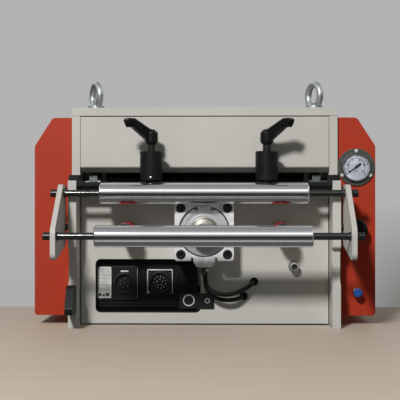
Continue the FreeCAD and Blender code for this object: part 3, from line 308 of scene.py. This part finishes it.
# The gauge case's bright edges are mostly a painted highlight.
GAUGE_GREY = plated_steel("gauge_case_metal", (0.105, 0.118, 0.110), 0.45, edge_wear_and_highlight=0.5)
TUBE_GREY = moulded("tube_grey", (0.46, 0.46, 0.44), 0.42, 700.0, 0.00002)
VALVE_GREY = moulded("valve_cast", (0.34, 0.35, 0.37), 0.50, 700.0, 0.00008)
SPRING_RED = moulded("spring_enamel", (0.46, 0.012, 0.016), 0.32, 500.0, 0.00002)
FITTING = plated_steel("fitting_steel", (0.10, 0.10, 0.095), 0.34)
CREAM = moulded("release_ring", (0.62, 0.57, 0.42), 0.45)
NICKEL = ground_metal("nickel_plate", (0.72, 0.69, 0.60), 0.24, 1.0, (500, 500, 1500))
COLLAR_BLUE = moulded("collar_blue", (0.020, 0.110, 0.470), 0.34, 900.0, 0.00001)
NEEDLE = moulded("needle_black", (0.006, 0.006, 0.006), 0.45, **DULL)
DIAL = moulded("dial_face", (0.84, 0.87, 0.97), 0.42, 600.0, 0.000004)
DIAL_INK = moulded("dial_ink", (0.02, 0.02, 0.03), 0.5)
DIAL_BLUE = moulded("dial_blue", (0.12, 0.16, 0.50), 0.5)
LABEL = moulded("label_face", (0.80, 0.80, 0.78), 0.40, 500.0, 0.000004)
LABEL_INK = moulded("label_ink", (0.05, 0.05, 0.055), 0.5)
POWER = connector("power_socket", (-0.1189, 0.0607), 0.0130, -0.0869, 0.12, (0.30, 0.28, 0.25, 1.0))
ENCODER = connector("encoder_socket", (-0.0663, 0.0622), 0.0133, -0.0863, 0.12, (0.75, 0.74, 0.71, 1.0))


def lens_glass():
    finish = Finish("lens_glass", (0.97, 0.99, 1.0), 0.02, **{"Transmission Weight": 1.0, "IOR": 1.46})
    finish.roughen(finish.span(finish.noise(90.0, detail=5.0), 0.45, 0.75, 0.01, 0.07))
    return finish.material


LENS = lens_glass()

COATS = {
    "white_paint": (WHITE, [
        "side_plate_left", "side_plate_right", "top_plate", "entry_panel", "upper_cover", "rear_panel",
        "entry_arm_left", "entry_arm_right"]),
    "red_paint": (RED, ["side_cover_left", "side_cover_right"]),
    "polished_steel": (CHROME, ["upper_entry_roller", "lower_entry_roller"]),
    "roll_steel": (SHADED_ROLL_STEEL, ["lower_feed_roll", "upper_feed_roll"]),
    "swing_steel": (ARM_STEEL, ["swing_arms", "swing_bar"]),
    "zinc_steel": (ZINC, ["cover_screws"]),
    "machined_steel": (MACHINED, ["lower_gear", "upper_gear"]),
    "eye_zinc": (EYE_ZINC, ["eye_bolts"]),
    "dark_steel": (ZINC_DARK, [
        "cylinder_circlip", "spring_rods", "roll_bearings", "tie_bars", "pivot_pins"]),
    "black_oxide": (OXIDE, [
        "socket_screws", "arm_spacers", "guide_stud_left", "guide_stud_right"]),
    "polished_black": (SHAFT_BLACK, ["entry_shafts"]),
    "black_bar": (BLACK_BAR, ["guide_bar", "nose_caps", "window_clip"]),
    "black_rolls": (ROLLER_BLACK, ["guide_roller_left", "guide_roller_right", "sensor_block"]),
    "lever_black": (LEVER_BLACK, ["clamp_lever_left", "clamp_lever_right", "regulator_knob"]),
    "cylinder": (CYLINDER_WHITE, ["cylinder_body"]),
    "tube": (TUBE_GREY, ["bulkhead_tube"]),
    "turned": (ALUMINIUM, ["cylinder_cover", "motor_pulley", "roll_pulley"]),
    "hub": (HUB, ["cylinder_rod"]),
    "motor": (MOTOR_BLACK, ["motor_body"]),
    "power": (POWER, ["power_connector"]),
    "encoder": (ENCODER, ["encoder_connector"]),
    "fittings": (FITTING, ["hose_fittings"]),
    "nickel": (NICKEL, ["inlet_fitting"]),
    "rubber": (RUBBER, ["hose_grommets", "drive_belt"]),
    "valve": (VALVE_GREY, ["valve_body", "regulator_body"]),
    "gauge": (GAUGE_GREY, ["gauge_case"]),
    "needle": (NEEDLE, ["gauge_needle"]),
    "collar": (COLLAR_BLUE, ["inlet_collar"]),
}


def coat_nodes():
    for material, names in COATS.values():
        for name in names:
            for place in NODES[name].material_slots:
                place.material = material


# ---------------------------------------------------------------- mesh tools

def finish_piece(name, mesh, material, body, sharp=35.0):
    for face in mesh.polygons:
        face.use_smooth = True
    mesh.set_sharp_from_angle(angle=math.radians(sharp))
    mesh.materials.append(material)
    piece = bpy.data.objects.new(name, mesh)
    bpy.context.scene.collection.objects.link(piece)
    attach(piece, body)
    return piece


def from_bmesh(name, shape, material, body, sharp=35.0):
    bmesh.ops.recalc_face_normals(shape, faces=shape.faces)
    mesh = bpy.data.meshes.new(name)
    shape.to_mesh(mesh)
    shape.free()
    return finish_piece(name, mesh, material, body, sharp)


def lathe_y(shape, centre, profile, steps=48):
    """Turns a profile of (radius, y) about a line along Y through centre (x, z), all in mm."""
    rings = []
    for radius, y in profile:
        ring = []
        for i in range(steps):
            angle = 2 * math.pi * i / steps
            x = centre[0] + radius * math.cos(angle)
            z = centre[1] + radius * math.sin(angle)
            ring.append(shape.verts.new(Vector((x, y, z)) * MM))
        rings.append(ring)
    for first, second in zip(rings, rings[1:]):
        for i in range(steps):
            j = (i + 1) % steps
            shape.faces.new((first[i], first[j], second[j], second[i]))
    shape.faces.new(rings[0])
    shape.faces.new(list(reversed(rings[-1])))


def slab(shape, corners, y0, y1):
    """A plate with the outline corners (x, z), from y0 to y1, all in mm."""
    front = [shape.verts.new(Vector((x, y0, z)) * MM) for x, z in corners]
    back = [shape.verts.new(Vector((x, y1, z)) * MM) for x, z in corners]
    shape.faces.new(front)
    shape.faces.new(list(reversed(back)))
    for i in range(len(corners)):
        j = (i + 1) % len(corners)
        shape.faces.new((front[j], front[i], back[i], back[j]))


def rounded(x0, x1, z0, z1, radius, steps=6):
    corners = []
    for cx, cz, start in ((x1, z1, 0), (x0, z1, 90), (x0, z0, 180), (x1, z0, 270)):
        mx = cx - radius if cx == x1 else cx + radius
        mz = cz - radius if cz == z1 else cz + radius
        for i in range(steps + 1):
            angle = math.radians(start + 90 * i / steps)
            corners.append((mx + radius * math.cos(angle), mz + radius * math.sin(angle)))
    return corners


# ---------------------------------------------------------------- hoses

HOSES = {
    "hose_front": [
        (0.0010, -0.1260, 0.0820), (0.0010, -0.1260, 0.0650), (0.0075, -0.1275, 0.0545),
        (0.0210, -0.1285, 0.0480), (0.0380, -0.1265, 0.0470), (0.0580, -0.1195, 0.0540),
        (0.0729, -0.1075, 0.0643), (0.0729, -0.0840, 0.0643)],
    "hose_rear": [
        (0.0010, -0.1080, 0.0820), (0.0010, -0.1080, 0.0630), (0.0050, -0.1105, 0.0505),
        (0.0150, -0.1135, 0.0420), (0.0300, -0.1155, 0.0380), (0.0460, -0.1135, 0.0390),
        (0.0575, -0.1050, 0.0430), (0.0575, -0.0840, 0.0430)],
}


def make_hoses():
    for node, route in HOSES.items():
        curve = bpy.data.curves.new(node + "_tube", "CURVE")
        curve.dimensions = "3D"
        spline = curve.splines.new("NURBS")
        spline.points.add(len(route) - 1)
        for point, at in zip(spline.points, route):
            point.co = (*at, 1.0)
        spline.order_u = 3
        spline.use_endpoint_u = True
        curve.resolution_u = 16
        curve.bevel_depth = HOSE_DIAMETER / 2 * MM
        curve.bevel_resolution = 8
        curve.use_fill_caps = True
        curve.materials.append(RUBBER)
        tube = bpy.data.objects.new(node + "_tube", curve)
        bpy.context.scene.collection.objects.link(tube)
        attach(tube, "frame")
        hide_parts(node)


# ---------------------------------------------------------------- springs

def spring_mesh(shape, x, z, y_seat, y_end, outer):
    """A flat-wire die spring along Y with closed, ground ends, all in mm."""
    wide, thick = SPRING_WIRE
    middle_r = outer - wide / 2
    length = y_seat - y_end
    steps = int(SPRING_TURNS * 40)
    bevel = 0.7
    section = [
        (-wide / 2 + bevel, -thick / 2), (wide / 2 - bevel, -thick / 2), (wide / 2, -thick / 2 + bevel),
        (wide / 2, thick / 2 - bevel), (wide / 2 - bevel, thick / 2), (-wide / 2 + bevel, thick / 2),
        (-wide / 2, thick / 2 - bevel), (-wide / 2, -thick / 2 + bevel),
    ]
    closed = 1.0 / SPRING_TURNS
    rings = []
    for i in range(steps + 1):
        share = i / steps
        rise = spring_rise(share, closed, thick, length)
        angle = 2 * math.pi * SPRING_TURNS * share
        ring = []
        for across, along in section:
            radius = middle_r + across
            y = min(max(y_end + rise + along, y_end), y_seat)
            at = (x + radius * math.cos(angle), y, z + radius * math.sin(angle))
            ring.append(shape.verts.new(Vector(at) * MM))
        rings.append(ring)
    count = len(section)
    for first, second in zip(rings, rings[1:]):
        for i in range(count):
            j = (i + 1) % count
            shape.faces.new((first[i], first[j], second[j], second[i]))
    shape.faces.new(rings[0])
    shape.faces.new(list(reversed(rings[-1])))


def spring_rise(share, closed, thick, length):
    """How far along the spring the wire's middle is: the first and last turns lie closed."""
    end_rise = thick * 0.95
    if share < closed:
        return thick * 0.25 + end_rise * share / closed
    if share > 1 - closed:
        return length - thick * 0.25 - end_rise * (1 - share) / closed
    low = thick * 0.25 + end_rise
    return low + (length - 2 * low) * (share - closed) / (1 - 2 * closed)


def make_springs():
    low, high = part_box("die_springs")
    y_end = low.y / MM
    y_seat = high.y / MM
    outer = (high.z - low.z) / MM / 2
    z = (low.z + high.z) / MM / 2
    for side, name in ((-1, "die_spring_left"), (1, "die_spring_right")):
        shape = bmesh.new()
        spring_mesh(shape, side * (high.x / MM - outer), z, y_seat, y_end, outer)
        spring = from_bmesh(name, shape, SPRING_RED, "frame", 50.0)
        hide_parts("die_springs")
        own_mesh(spring)


# ---------------------------------------------------------------- gauge

def gauge_place():
    low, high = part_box("gauge_case")
    centre = ((low.x + high.x) / 2 / MM, (low.z + high.z) / 2 / MM)
    return centre, low.y / MM


def polar(centre, radius, degrees):
    """A point on a dial, with degrees clockwise from straight up as the viewer sees it."""
    turn = math.radians(degrees)
    return centre[0] + radius * math.sin(turn), centre[1] + radius * math.cos(turn)


def make_gauge():
    centre, rim_y = gauge_place()
    face_y = rim_y + 4.6
    shape = bmesh.new()
    lathe_y(shape, centre, [(19.4, face_y + 0.8), (19.4, face_y + 0.1), (19.2, face_y)], 64)
    from_bmesh("gauge_dial", shape, DIAL, "frame")

    ticks = bmesh.new()
    for i in range(51):
        degrees = GAUGE_ZERO + GAUGE_SWEEP * i / 50
        major = i % 10 == 0
        inner = 14.4 if major else (15.6 if i % 5 == 0 else 16.4)
        half = 0.36 if major else 0.17
        along = Vector(polar((0, 0), 1.0, degrees))
        across = Vector((along.y, -along.x)) * half
        corners = []
        for reach, way in ((inner, 1), (17.6, 1), (17.6, -1), (inner, -1)):
            at = Vector(centre) + along * reach + across * way
            corners.append((at.x, at.y))
        slab(ticks, corners, face_y - 0.12, face_y + 0.05)
    from_bmesh("gauge_ticks", ticks, DIAL_INK, "frame")
    make_numerals(centre, face_y)

    lens = bmesh.new()
    lens_y = rim_y + 1.6
    profile = [(19.5, lens_y + 0.9)]
    for i in range(12):
        radius = 19.5 * math.cos(math.radians(7.5 * i))
        profile.append((radius, lens_y - 2.6 * (1 - (radius / 19.5) ** 2)))
    lathe_y(lens, centre, profile + [(0.5, lens_y - 2.6)], 64)
    from_bmesh("gauge_lens", lens, LENS, "frame")

    arcs = bmesh.new()
    for radius in (17.6, 13.2):
        arc_band(arcs, centre, radius, 0.62, GAUGE_ZERO, GAUGE_SWEEP, face_y - 0.12)
    from_bmesh("gauge_arcs", arcs, DIAL_INK, "frame")
    blue = bmesh.new()
    arc_band(blue, centre, 6.4, 0.9, 150.0, 60.0, face_y - 0.12)
    from_bmesh("gauge_blue_band", blue, DIAL_BLUE, "frame")


def arc_band(shape, centre, radius, width, start, sweep, y, steps=72):
    """A thin raised arc on the dial, in degrees clockwise from straight up."""
    outer = [polar(centre, radius, start + sweep * i / steps) for i in range(steps + 1)]
    inner = [polar(centre, radius - width, start + sweep * i / steps) for i in range(steps + 1)]
    for i in range(steps):
        slab(shape, [outer[i], outer[i + 1], inner[i + 1], inner[i]], y, y + 0.17)


def lathe_ring(shape, centre, outer, inner, y0, y1, steps=64):
    """A turned ring with small chamfers in front, in mm."""
    profile = [(inner, y1), (inner, y0 + 0.4), (inner + 0.4, y0), (outer - 0.5, y0), (outer, y0 + 0.5)]
    profile.append((outer, y1))
    revolve(shape, centre, profile, steps)


def revolve(shape, centre, profile, steps=64):
    """A closed profile of (radius, y) points turned about an axis along Y, in mm."""
    rings = []
    for radius, y in profile:
        ring = []
        for i in range(steps):
            angle = 2 * math.pi * i / steps
            at = (centre[0] + radius * math.cos(angle), y, centre[1] + radius * math.sin(angle))
            ring.append(shape.verts.new(Vector(at) * MM))
        rings.append(ring)
    for first, second in zip(rings, rings[1:] + rings[:1]):
        for i in range(steps):
            j = (i + 1) % steps
            shape.faces.new((first[i], first[j], second[j], second[i]))


def make_numerals(centre, face_y):
    """Plain numbers 0 to 10 round the dial, as thin raised meshes."""
    for i in range(6):
        x, z = polar(centre, 11.4, GAUGE_ZERO + GAUGE_SWEEP * i / 5)
        text = bpy.data.curves.new("numeral", "FONT")
        text.body = str(2 * i)
        text.size = 4.6 * MM
        text.align_x = "CENTER"
        text.align_y = "CENTER"
        text.extrude = 0.05 * MM
        text.offset = 0.10 * MM
        holder = bpy.data.objects.new("numeral", text)
        bpy.context.scene.collection.objects.link(holder)
        turn = Matrix.Rotation(math.radians(90), 4, "X")
        holder.matrix_world = Matrix.Translation(Vector((x, face_y - 0.1, z)) * MM) @ turn
        bpy.context.view_layer.update()
        ready = holder.evaluated_get(bpy.context.evaluated_depsgraph_get())
        mesh = bpy.data.meshes.new_from_object(ready)
        mesh.transform(holder.matrix_world)
        bpy.data.objects.remove(holder)
        finish_piece("gauge_numeral_" + str(2 * i), mesh, DIAL_INK, "frame")


# ---------------------------------------------------------------- small pieces


def make_label():
    """The motor's data plate, with plain bars where a real one has print."""
    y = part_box("motor_body")[0].y / MM + 5.0
    x0, x1 = LABEL_X
    z0, z1 = LABEL_Z
    front, back = y - PRINT[0], y - PRINT[1]
    shape = bmesh.new()
    slab(shape, rounded(x0, x1, z0, z1, 1.5), y - 0.35, y + 0.02)
    from_bmesh("motor_label", shape, LABEL, "frame")
    margin = 1.5
    lines = bmesh.new()
    for row in range(16):
        top = z1 - 2.4 - 2.1 * row
        foot = top - 0.9
        left = x0 + margin
        for word in range(6):
            right = min(left + 1.4 + 0.8 * ((3 * row + 5 * word) % 4), x1 - margin)
            if right - left > 0.8:
                corners = [(left, foot), (right, foot), (right, top), (left, top)]
                slab(lines, corners, front, back)
            left = right + 0.7
    from_bmesh("label_lines", lines, VALVE_GREY, "frame")
    squares = bmesh.new()
    foot = z0 + 3.0
    for across, size in ((1.8, 4.4), (7.6, 3.2), (12.4, 5.0)):
        left = x0 + across
        slab(squares, rounded(left, left + size, foot, foot + size, 0.6), front, back)
    from_bmesh("label_squares", squares, LABEL_INK, "frame")


def make_terminal():
    """Earth terminal on the black bracket: a bright ring round a black socket screw."""
    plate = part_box("window_clip")[0].y / MM + BRACKET_THICK
    ring = bmesh.new()
    lathe_ring(ring, EARTH_AT, 8.7, 6.9, plate - 1.6, plate + 0.5, 48)
    from_bmesh("earth_ring", ring, BARE_METAL_AND_HIGHLIGHT, "frame")
    head = bmesh.new()
    profile = [(3.0, plate + 0.2), (3.0, plate - 0.9), (5.6, plate - 0.9), (6.3, plate + 0.2)]
    revolve(head, EARTH_AT, profile, 48)
    from_bmesh("earth_screw", head, OXIDE, "frame")


def make_clip_screw():
    """Grey washer round the black head of the bracket's screw."""
    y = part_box("window_clip")[0].y / MM
    washer = bmesh.new()
    lathe_ring(washer, CLIP_SCREW_AT, 4.1, 2.1, y - 0.4, y + 2.3, 36)
    from_bmesh("clip_washer", washer, VALVE_GREY, "frame")


def make_hub_ring():
    """Dark seal ring let into the cone of the stroke-limiting nut."""
    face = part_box("cylinder_rod")[0].y / MM + 2.0
    centre = (CYLINDER_AXIS[0] / MM, CYLINDER_AXIS[1] / MM)
    inner, outer = SEAL_R
    profile = [(inner, face + 2.8), (inner, face + 2.3), (outer, face + 2.75), (outer, face + 3.2)]
    shape = bmesh.new()
    revolve(shape, centre, profile)
    from_bmesh("hub_seal", shape, OXIDE, "release_rod")


def make_top_seam_shadow():
    """Painted shadow: a dark strip along the joint between the top plate and each side plate, where a shadow
    line falls.
    """
    low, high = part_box("top_plate")
    side_low, side_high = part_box("side_plate_right")
    wide = (side_high.x - side_low.x) / MM
    z = low.z / MM
    y = low.y / MM
    shape = bmesh.new()
    for start in (low.x / MM, high.x / MM - wide):
        slab(shape, rounded(start, start + wide, z - 0.5, z + 0.4, 0.15), y - 0.08, y + 0.3)
    from_bmesh("top_seam_shadow", shape, VALVE_GREY, "frame")


def make_tube_shade():
    """Painted shade at the bulkhead tube: a black sleeve that darkens its bore, and a black ring round it on
    the panel, painted as its shadow.
    """
    low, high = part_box("bulkhead_tube")
    centre = ((low.x + high.x) / 2 / MM, (low.z + high.z) / 2 / MM)
    outer = (high.x - low.x) / 2 / MM
    mouth = low.y / MM
    wall, bore = BORE_SHADE_R
    deep, lip = mouth + 9.0, mouth - 0.1
    bore_shade = bmesh.new()
    revolve(bore_shade, centre, [(wall, deep), (wall, lip), (bore, lip), (bore, deep)], 40)
    from_bmesh("tube_bore_shade", bore_shade, OXIDE, "frame")
    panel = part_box("entry_panel")[0].y / MM
    seal = bmesh.new()
    lathe_ring(seal, centre, outer + 1.1, outer - 0.1, panel - 1.4, panel + 0.1, 48)
    from_bmesh("tube_shadow_ring", seal, RUBBER, "frame")


def make_encoder_rim_highlight():
    """Bright strips on the top and sides of the encoder's flange: a bared rim, painted as the highlight it
    catches, with none along the bottom, which lies in shade; and the screw at its lower corner.
    """
    low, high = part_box("encoder_connector")
    x0, x1 = low.x / MM, high.x / MM
    top = high.z / MM
    foot = low.z / MM + 1.8
    flange = high.y / MM - 3.0
    shape = bmesh.new()
    slab(shape, rounded(x0 + 0.3, x1 - 0.3, top - 1.7, top + 0.1, 0.5), flange - 0.3, flange + 0.4)
    slab(shape, rounded(x0 - 0.1, x0 + 1.6, foot, top - 1.7, 0.4), flange - 0.3, flange + 0.4)
    slab(shape, rounded(x1 - 1.1, x1 + 0.1, foot, top - 1.7, 0.3), flange - 0.3, flange + 0.4)
    from_bmesh("encoder_rim_highlight", shape, BARE_METAL_AND_HIGHLIGHT, "frame")
    head = bmesh.new()
    lathe_y(head, (x0 + 2.0, foot + 2.6), [(1.7, flange + 0.1), (1.7, flange - 0.9), (1.0, flange - 1.3)], 20)
    from_bmesh("encoder_screw", head, BARE_METAL_AND_HIGHLIGHT, "frame")


def make_gauge_screws():
    centre, rim_y = gauge_place()
    for i in range(3):
        x, z = polar(centre, 23.9, 120 * i)
        head = bmesh.new()
        front = rim_y + 3.5
        lathe_y(head, (x, z), [(2.5, front + 1.0), (2.5, front + 0.1), (1.9, front - 0.3)], 24)
        from_bmesh("gauge_screw_" + str(i), head, BARE_METAL_AND_HIGHLIGHT, "frame")


def make_roller_screw():
    """Bright set screw low on the left guide roller."""
    low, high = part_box("guide_roller_left")
    centre = ((low.x + high.x) / 2 / MM + ROLLER_HOLE[0], low.z / MM + ROLLER_HOLE[1])
    front = low.y / MM
    head = bmesh.new()
    lathe_y(head, centre, [(1.5, front + 2.0), (1.5, front + 0.1), (1.1, front - 0.15)], 20)
    from_bmesh("roller_set_screw", head, ZINC, "guide_left_sleeve")


def make_power_highlights():
    """Painted highlights on the power connector: a bright tab on top of its shell where it catches a
    reflection, and a grey strip along the right edge of its foot where the edge catches the light.
    """
    low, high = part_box("power_connector")
    y = low.y / MM
    highlight_tab = bmesh.new()
    slab(highlight_tab, rounded(*POWER_HIGHLIGHT_X, *POWER_HIGHLIGHT_Z, 0.6), y + 2.4, y + 4.6)
    from_bmesh("power_tab_highlight", highlight_tab, BARE_METAL_AND_HIGHLIGHT, "frame")
    highlight_edge = bmesh.new()
    x = high.x / MM
    slab(highlight_edge, rounded(x - 0.7, x + 0.1, low.z / MM + 2, high.z / MM - 2, 0.3), y + 4.3, y + 5.2)
    from_bmesh("power_foot_edge_highlight", highlight_edge, VALVE_GREY, "frame")


def make_inlet_plug():
    """Blue dust plug in the air inlet; it is pushed in with the release collar."""
    low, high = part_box("inlet_collar")
    centre = ((low.x + high.x) / 2 / MM, (low.z + high.z) / 2 / MM)
    y = low.y / MM
    plug = bmesh.new()
    profile = [(3.4, y + 6.5), (3.4, y + 0.2), (5.3, y + 0.2), (5.6, y - 0.2), (5.3, y - 0.9)]
    lathe_y(plug, centre, profile + [(2.2, y - 1.1), (1.8, y - 0.5), (0.4, y - 0.5)], 40)
    from_bmesh("inlet_plug", plug, COLLAR_BLUE, "release_collar")


def make_fitting_rings():
    """Cream release ring on the front of the hose fittings' block."""
    low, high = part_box("hose_fittings")
    shape = bmesh.new()
    centre = (4.6, high.z / MM - 4.5)
    y = low.y / MM
    lathe_y(shape, centre, [(2.6, y + 1.5), (2.6, y - 0.1), (2.2, y - 0.5), (0.5, y - 0.6)], 28)
    from_bmesh("fitting_ring", shape, CREAM, "frame")


# ---------------------------------------------------------------- stage

def make_stage():
    half_x, front, back = 1.1, -1.0, 0.16
    mesh = bpy.data.meshes.new("floor")
    corners = [(-half_x, front, 0), (half_x, front, 0), (half_x, back, 0), (-half_x, back, 0)]
    mesh.from_pydata([Vector(c) for c in corners], [], [(0, 1, 2, 3)])
    floor = bpy.data.objects.new("floor", mesh)
    bpy.context.scene.collection.objects.link(floor)
    floor.visible_glossy = False
    floor.visible_diffuse = False
    finish = Finish("pale_floor", (0.73, 0.63, 0.52), 0.6)
    grain = finish.span(finish.noise(9.0, (1, 6, 1), detail=6.0), 0.3, 0.7)
    finish.paint(finish.mix(grain, finish.tint(0.96), finish.tint(1.04)))
    mesh.materials.append(finish.material)


def area_light(name, at, target, size, power, colour=(1, 1, 1)):
    data = bpy.data.lights.new(name, "AREA")
    data.shape = "RECTANGLE"
    data.size, data.size_y = size
    data.energy = power
    data.color = colour
    lamp = bpy.data.objects.new(name, data)
    lamp.location = at
    way = Vector(target) - Vector(at)
    lamp.rotation_euler = way.to_track_quat("-Z", "Y").to_euler()
    bpy.context.scene.collection.objects.link(lamp)


def make_lights():
    area_light("key", KEY_AT, KEY_TARGET, (0.33, 0.33), 62.0, (1.0, 0.995, 0.985))
    make_world()


def make_world():
    """A pale wall for the camera, a little darker towards the bottom and with painted shade in its lower
    right corner, a banded studio for reflections and an even sky for the rest.
    """
    world = bpy.data.worlds.new("studio")
    bpy.context.scene.world = world
    world.use_nodes = True
    tree = world.node_tree
    seen = tree.nodes["Background"]
    way = tree.nodes.new("ShaderNodeTexCoord")
    height = tree.nodes.new("ShaderNodeSeparateXYZ")
    tree.links.new(way.outputs["Generated"], height.inputs[0])

    wall = ramp(tree, height.outputs["Z"], -0.11, 0.0, [(0.0, 0.42), (1.0, 0.455)])
    # Painted shade on the wall towards the lower right.
    right = span(tree, height.outputs["X"], 0.10, 0.19)
    low = span(tree, height.outputs["Z"], 0.0, -0.10)
    shade_corner = tree.nodes.new("ShaderNodeMath")
    shade_corner.operation = "MULTIPLY"
    tree.links.new(right, shade_corner.inputs[0])
    tree.links.new(low, shade_corner.inputs[1])
    shaded_wall = tree.nodes.new("ShaderNodeMix")
    shaded_wall.data_type = "RGBA"
    shaded_wall.inputs[7].default_value = (0.165, 0.158, 0.145, 1.0)
    tree.links.new(shade_corner.outputs[0], shaded_wall.inputs[0])
    tree.links.new(wall, shaded_wall.inputs[6])
    tree.links.new(shaded_wall.outputs[2], seen.inputs["Color"])

    mirrored = tree.nodes.new("ShaderNodeBackground")
    bands = [(-90, 0.12), (-80, 0.09), (-65, 0.09), (-51, 0.47), (-42, 0.33), (-33, 0.07), (-20, 0.035),
             (-5, 0.035), (3, 0.12), (12, 0.42), (21, 0.55), (25, 1.30), (39, 1.30), (43, 0.48), (60, 0.36),
             (90, 0.28)]
    stops = [((math.sin(math.radians(angle)) + 1) / 2, value) for angle, value in bands]
    tree.links.new(ramp(tree, height.outputs["Z"], -1.0, 1.0, stops), mirrored.inputs["Color"])

    felt = tree.nodes.new("ShaderNodeBackground")
    felt.inputs["Color"].default_value = (1.0, 0.97, 0.87, 1.0)
    felt.inputs["Strength"].default_value = 0.105

    rays = tree.nodes.new("ShaderNodeLightPath")
    either = tree.nodes.new("ShaderNodeMixShader")
    tree.links.new(rays.outputs["Is Glossy Ray"], either.inputs[0])
    tree.links.new(felt.outputs[0], either.inputs[1])
    tree.links.new(mirrored.outputs[0], either.inputs[2])
    choose = tree.nodes.new("ShaderNodeMixShader")
    tree.links.new(rays.outputs["Is Camera Ray"], choose.inputs[0])
    tree.links.new(either.outputs[0], choose.inputs[1])
    tree.links.new(seen.outputs[0], choose.inputs[2])
    tree.links.new(choose.outputs[0], tree.nodes["World Output"].inputs["Surface"])


def span(tree, value, low, high):
    """The share of the way from low to high, held at 0 and 1."""
    place = tree.nodes.new("ShaderNodeMapRange")
    tree.links.new(value, place.inputs["Value"])
    place.inputs["From Min"].default_value = low
    place.inputs["From Max"].default_value = high
    return place.outputs["Result"]


def ramp(tree, value, low, high, stops):
    """Greys, a little warm, along a range of values; stops lists (share, grey)."""
    greys = tree.nodes.new("ShaderNodeValToRGB")
    tree.links.new(span(tree, value, low, high), greys.inputs[0])
    points = greys.color_ramp.elements
    for i, (share, grey) in enumerate(stops):
        point = points[i] if i < 2 else points.new(share)
        point.position = share
        point.color = (grey, grey * 0.985, grey * 0.99, 1.0)
    return greys.outputs["Color"]


def make_camera():
    data = bpy.data.cameras.new("camera")
    data.lens = CAMERA_LENS
    data.sensor_width = SENSOR
    camera = bpy.data.objects.new("camera", data)
    camera.location = CAMERA_AT
    camera.rotation_euler = (math.radians(90), 0, math.radians(CAMERA_TURN))
    bpy.context.scene.collection.objects.link(camera)
    bpy.context.scene.camera = camera


bpy.context.scene.view_settings.view_transform = "Standard"
make_camera()
make_hoses()
coat_nodes()
make_springs()
make_gauge()
make_gauge_screws()
make_label()
make_terminal()
make_clip_screw()
make_hub_ring()
make_top_seam_shadow()
make_encoder_rim_highlight()
make_tube_shade()
make_roller_screw()
make_power_highlights()
make_inlet_plug()
make_fitting_rings()
make_stage()
make_lights()
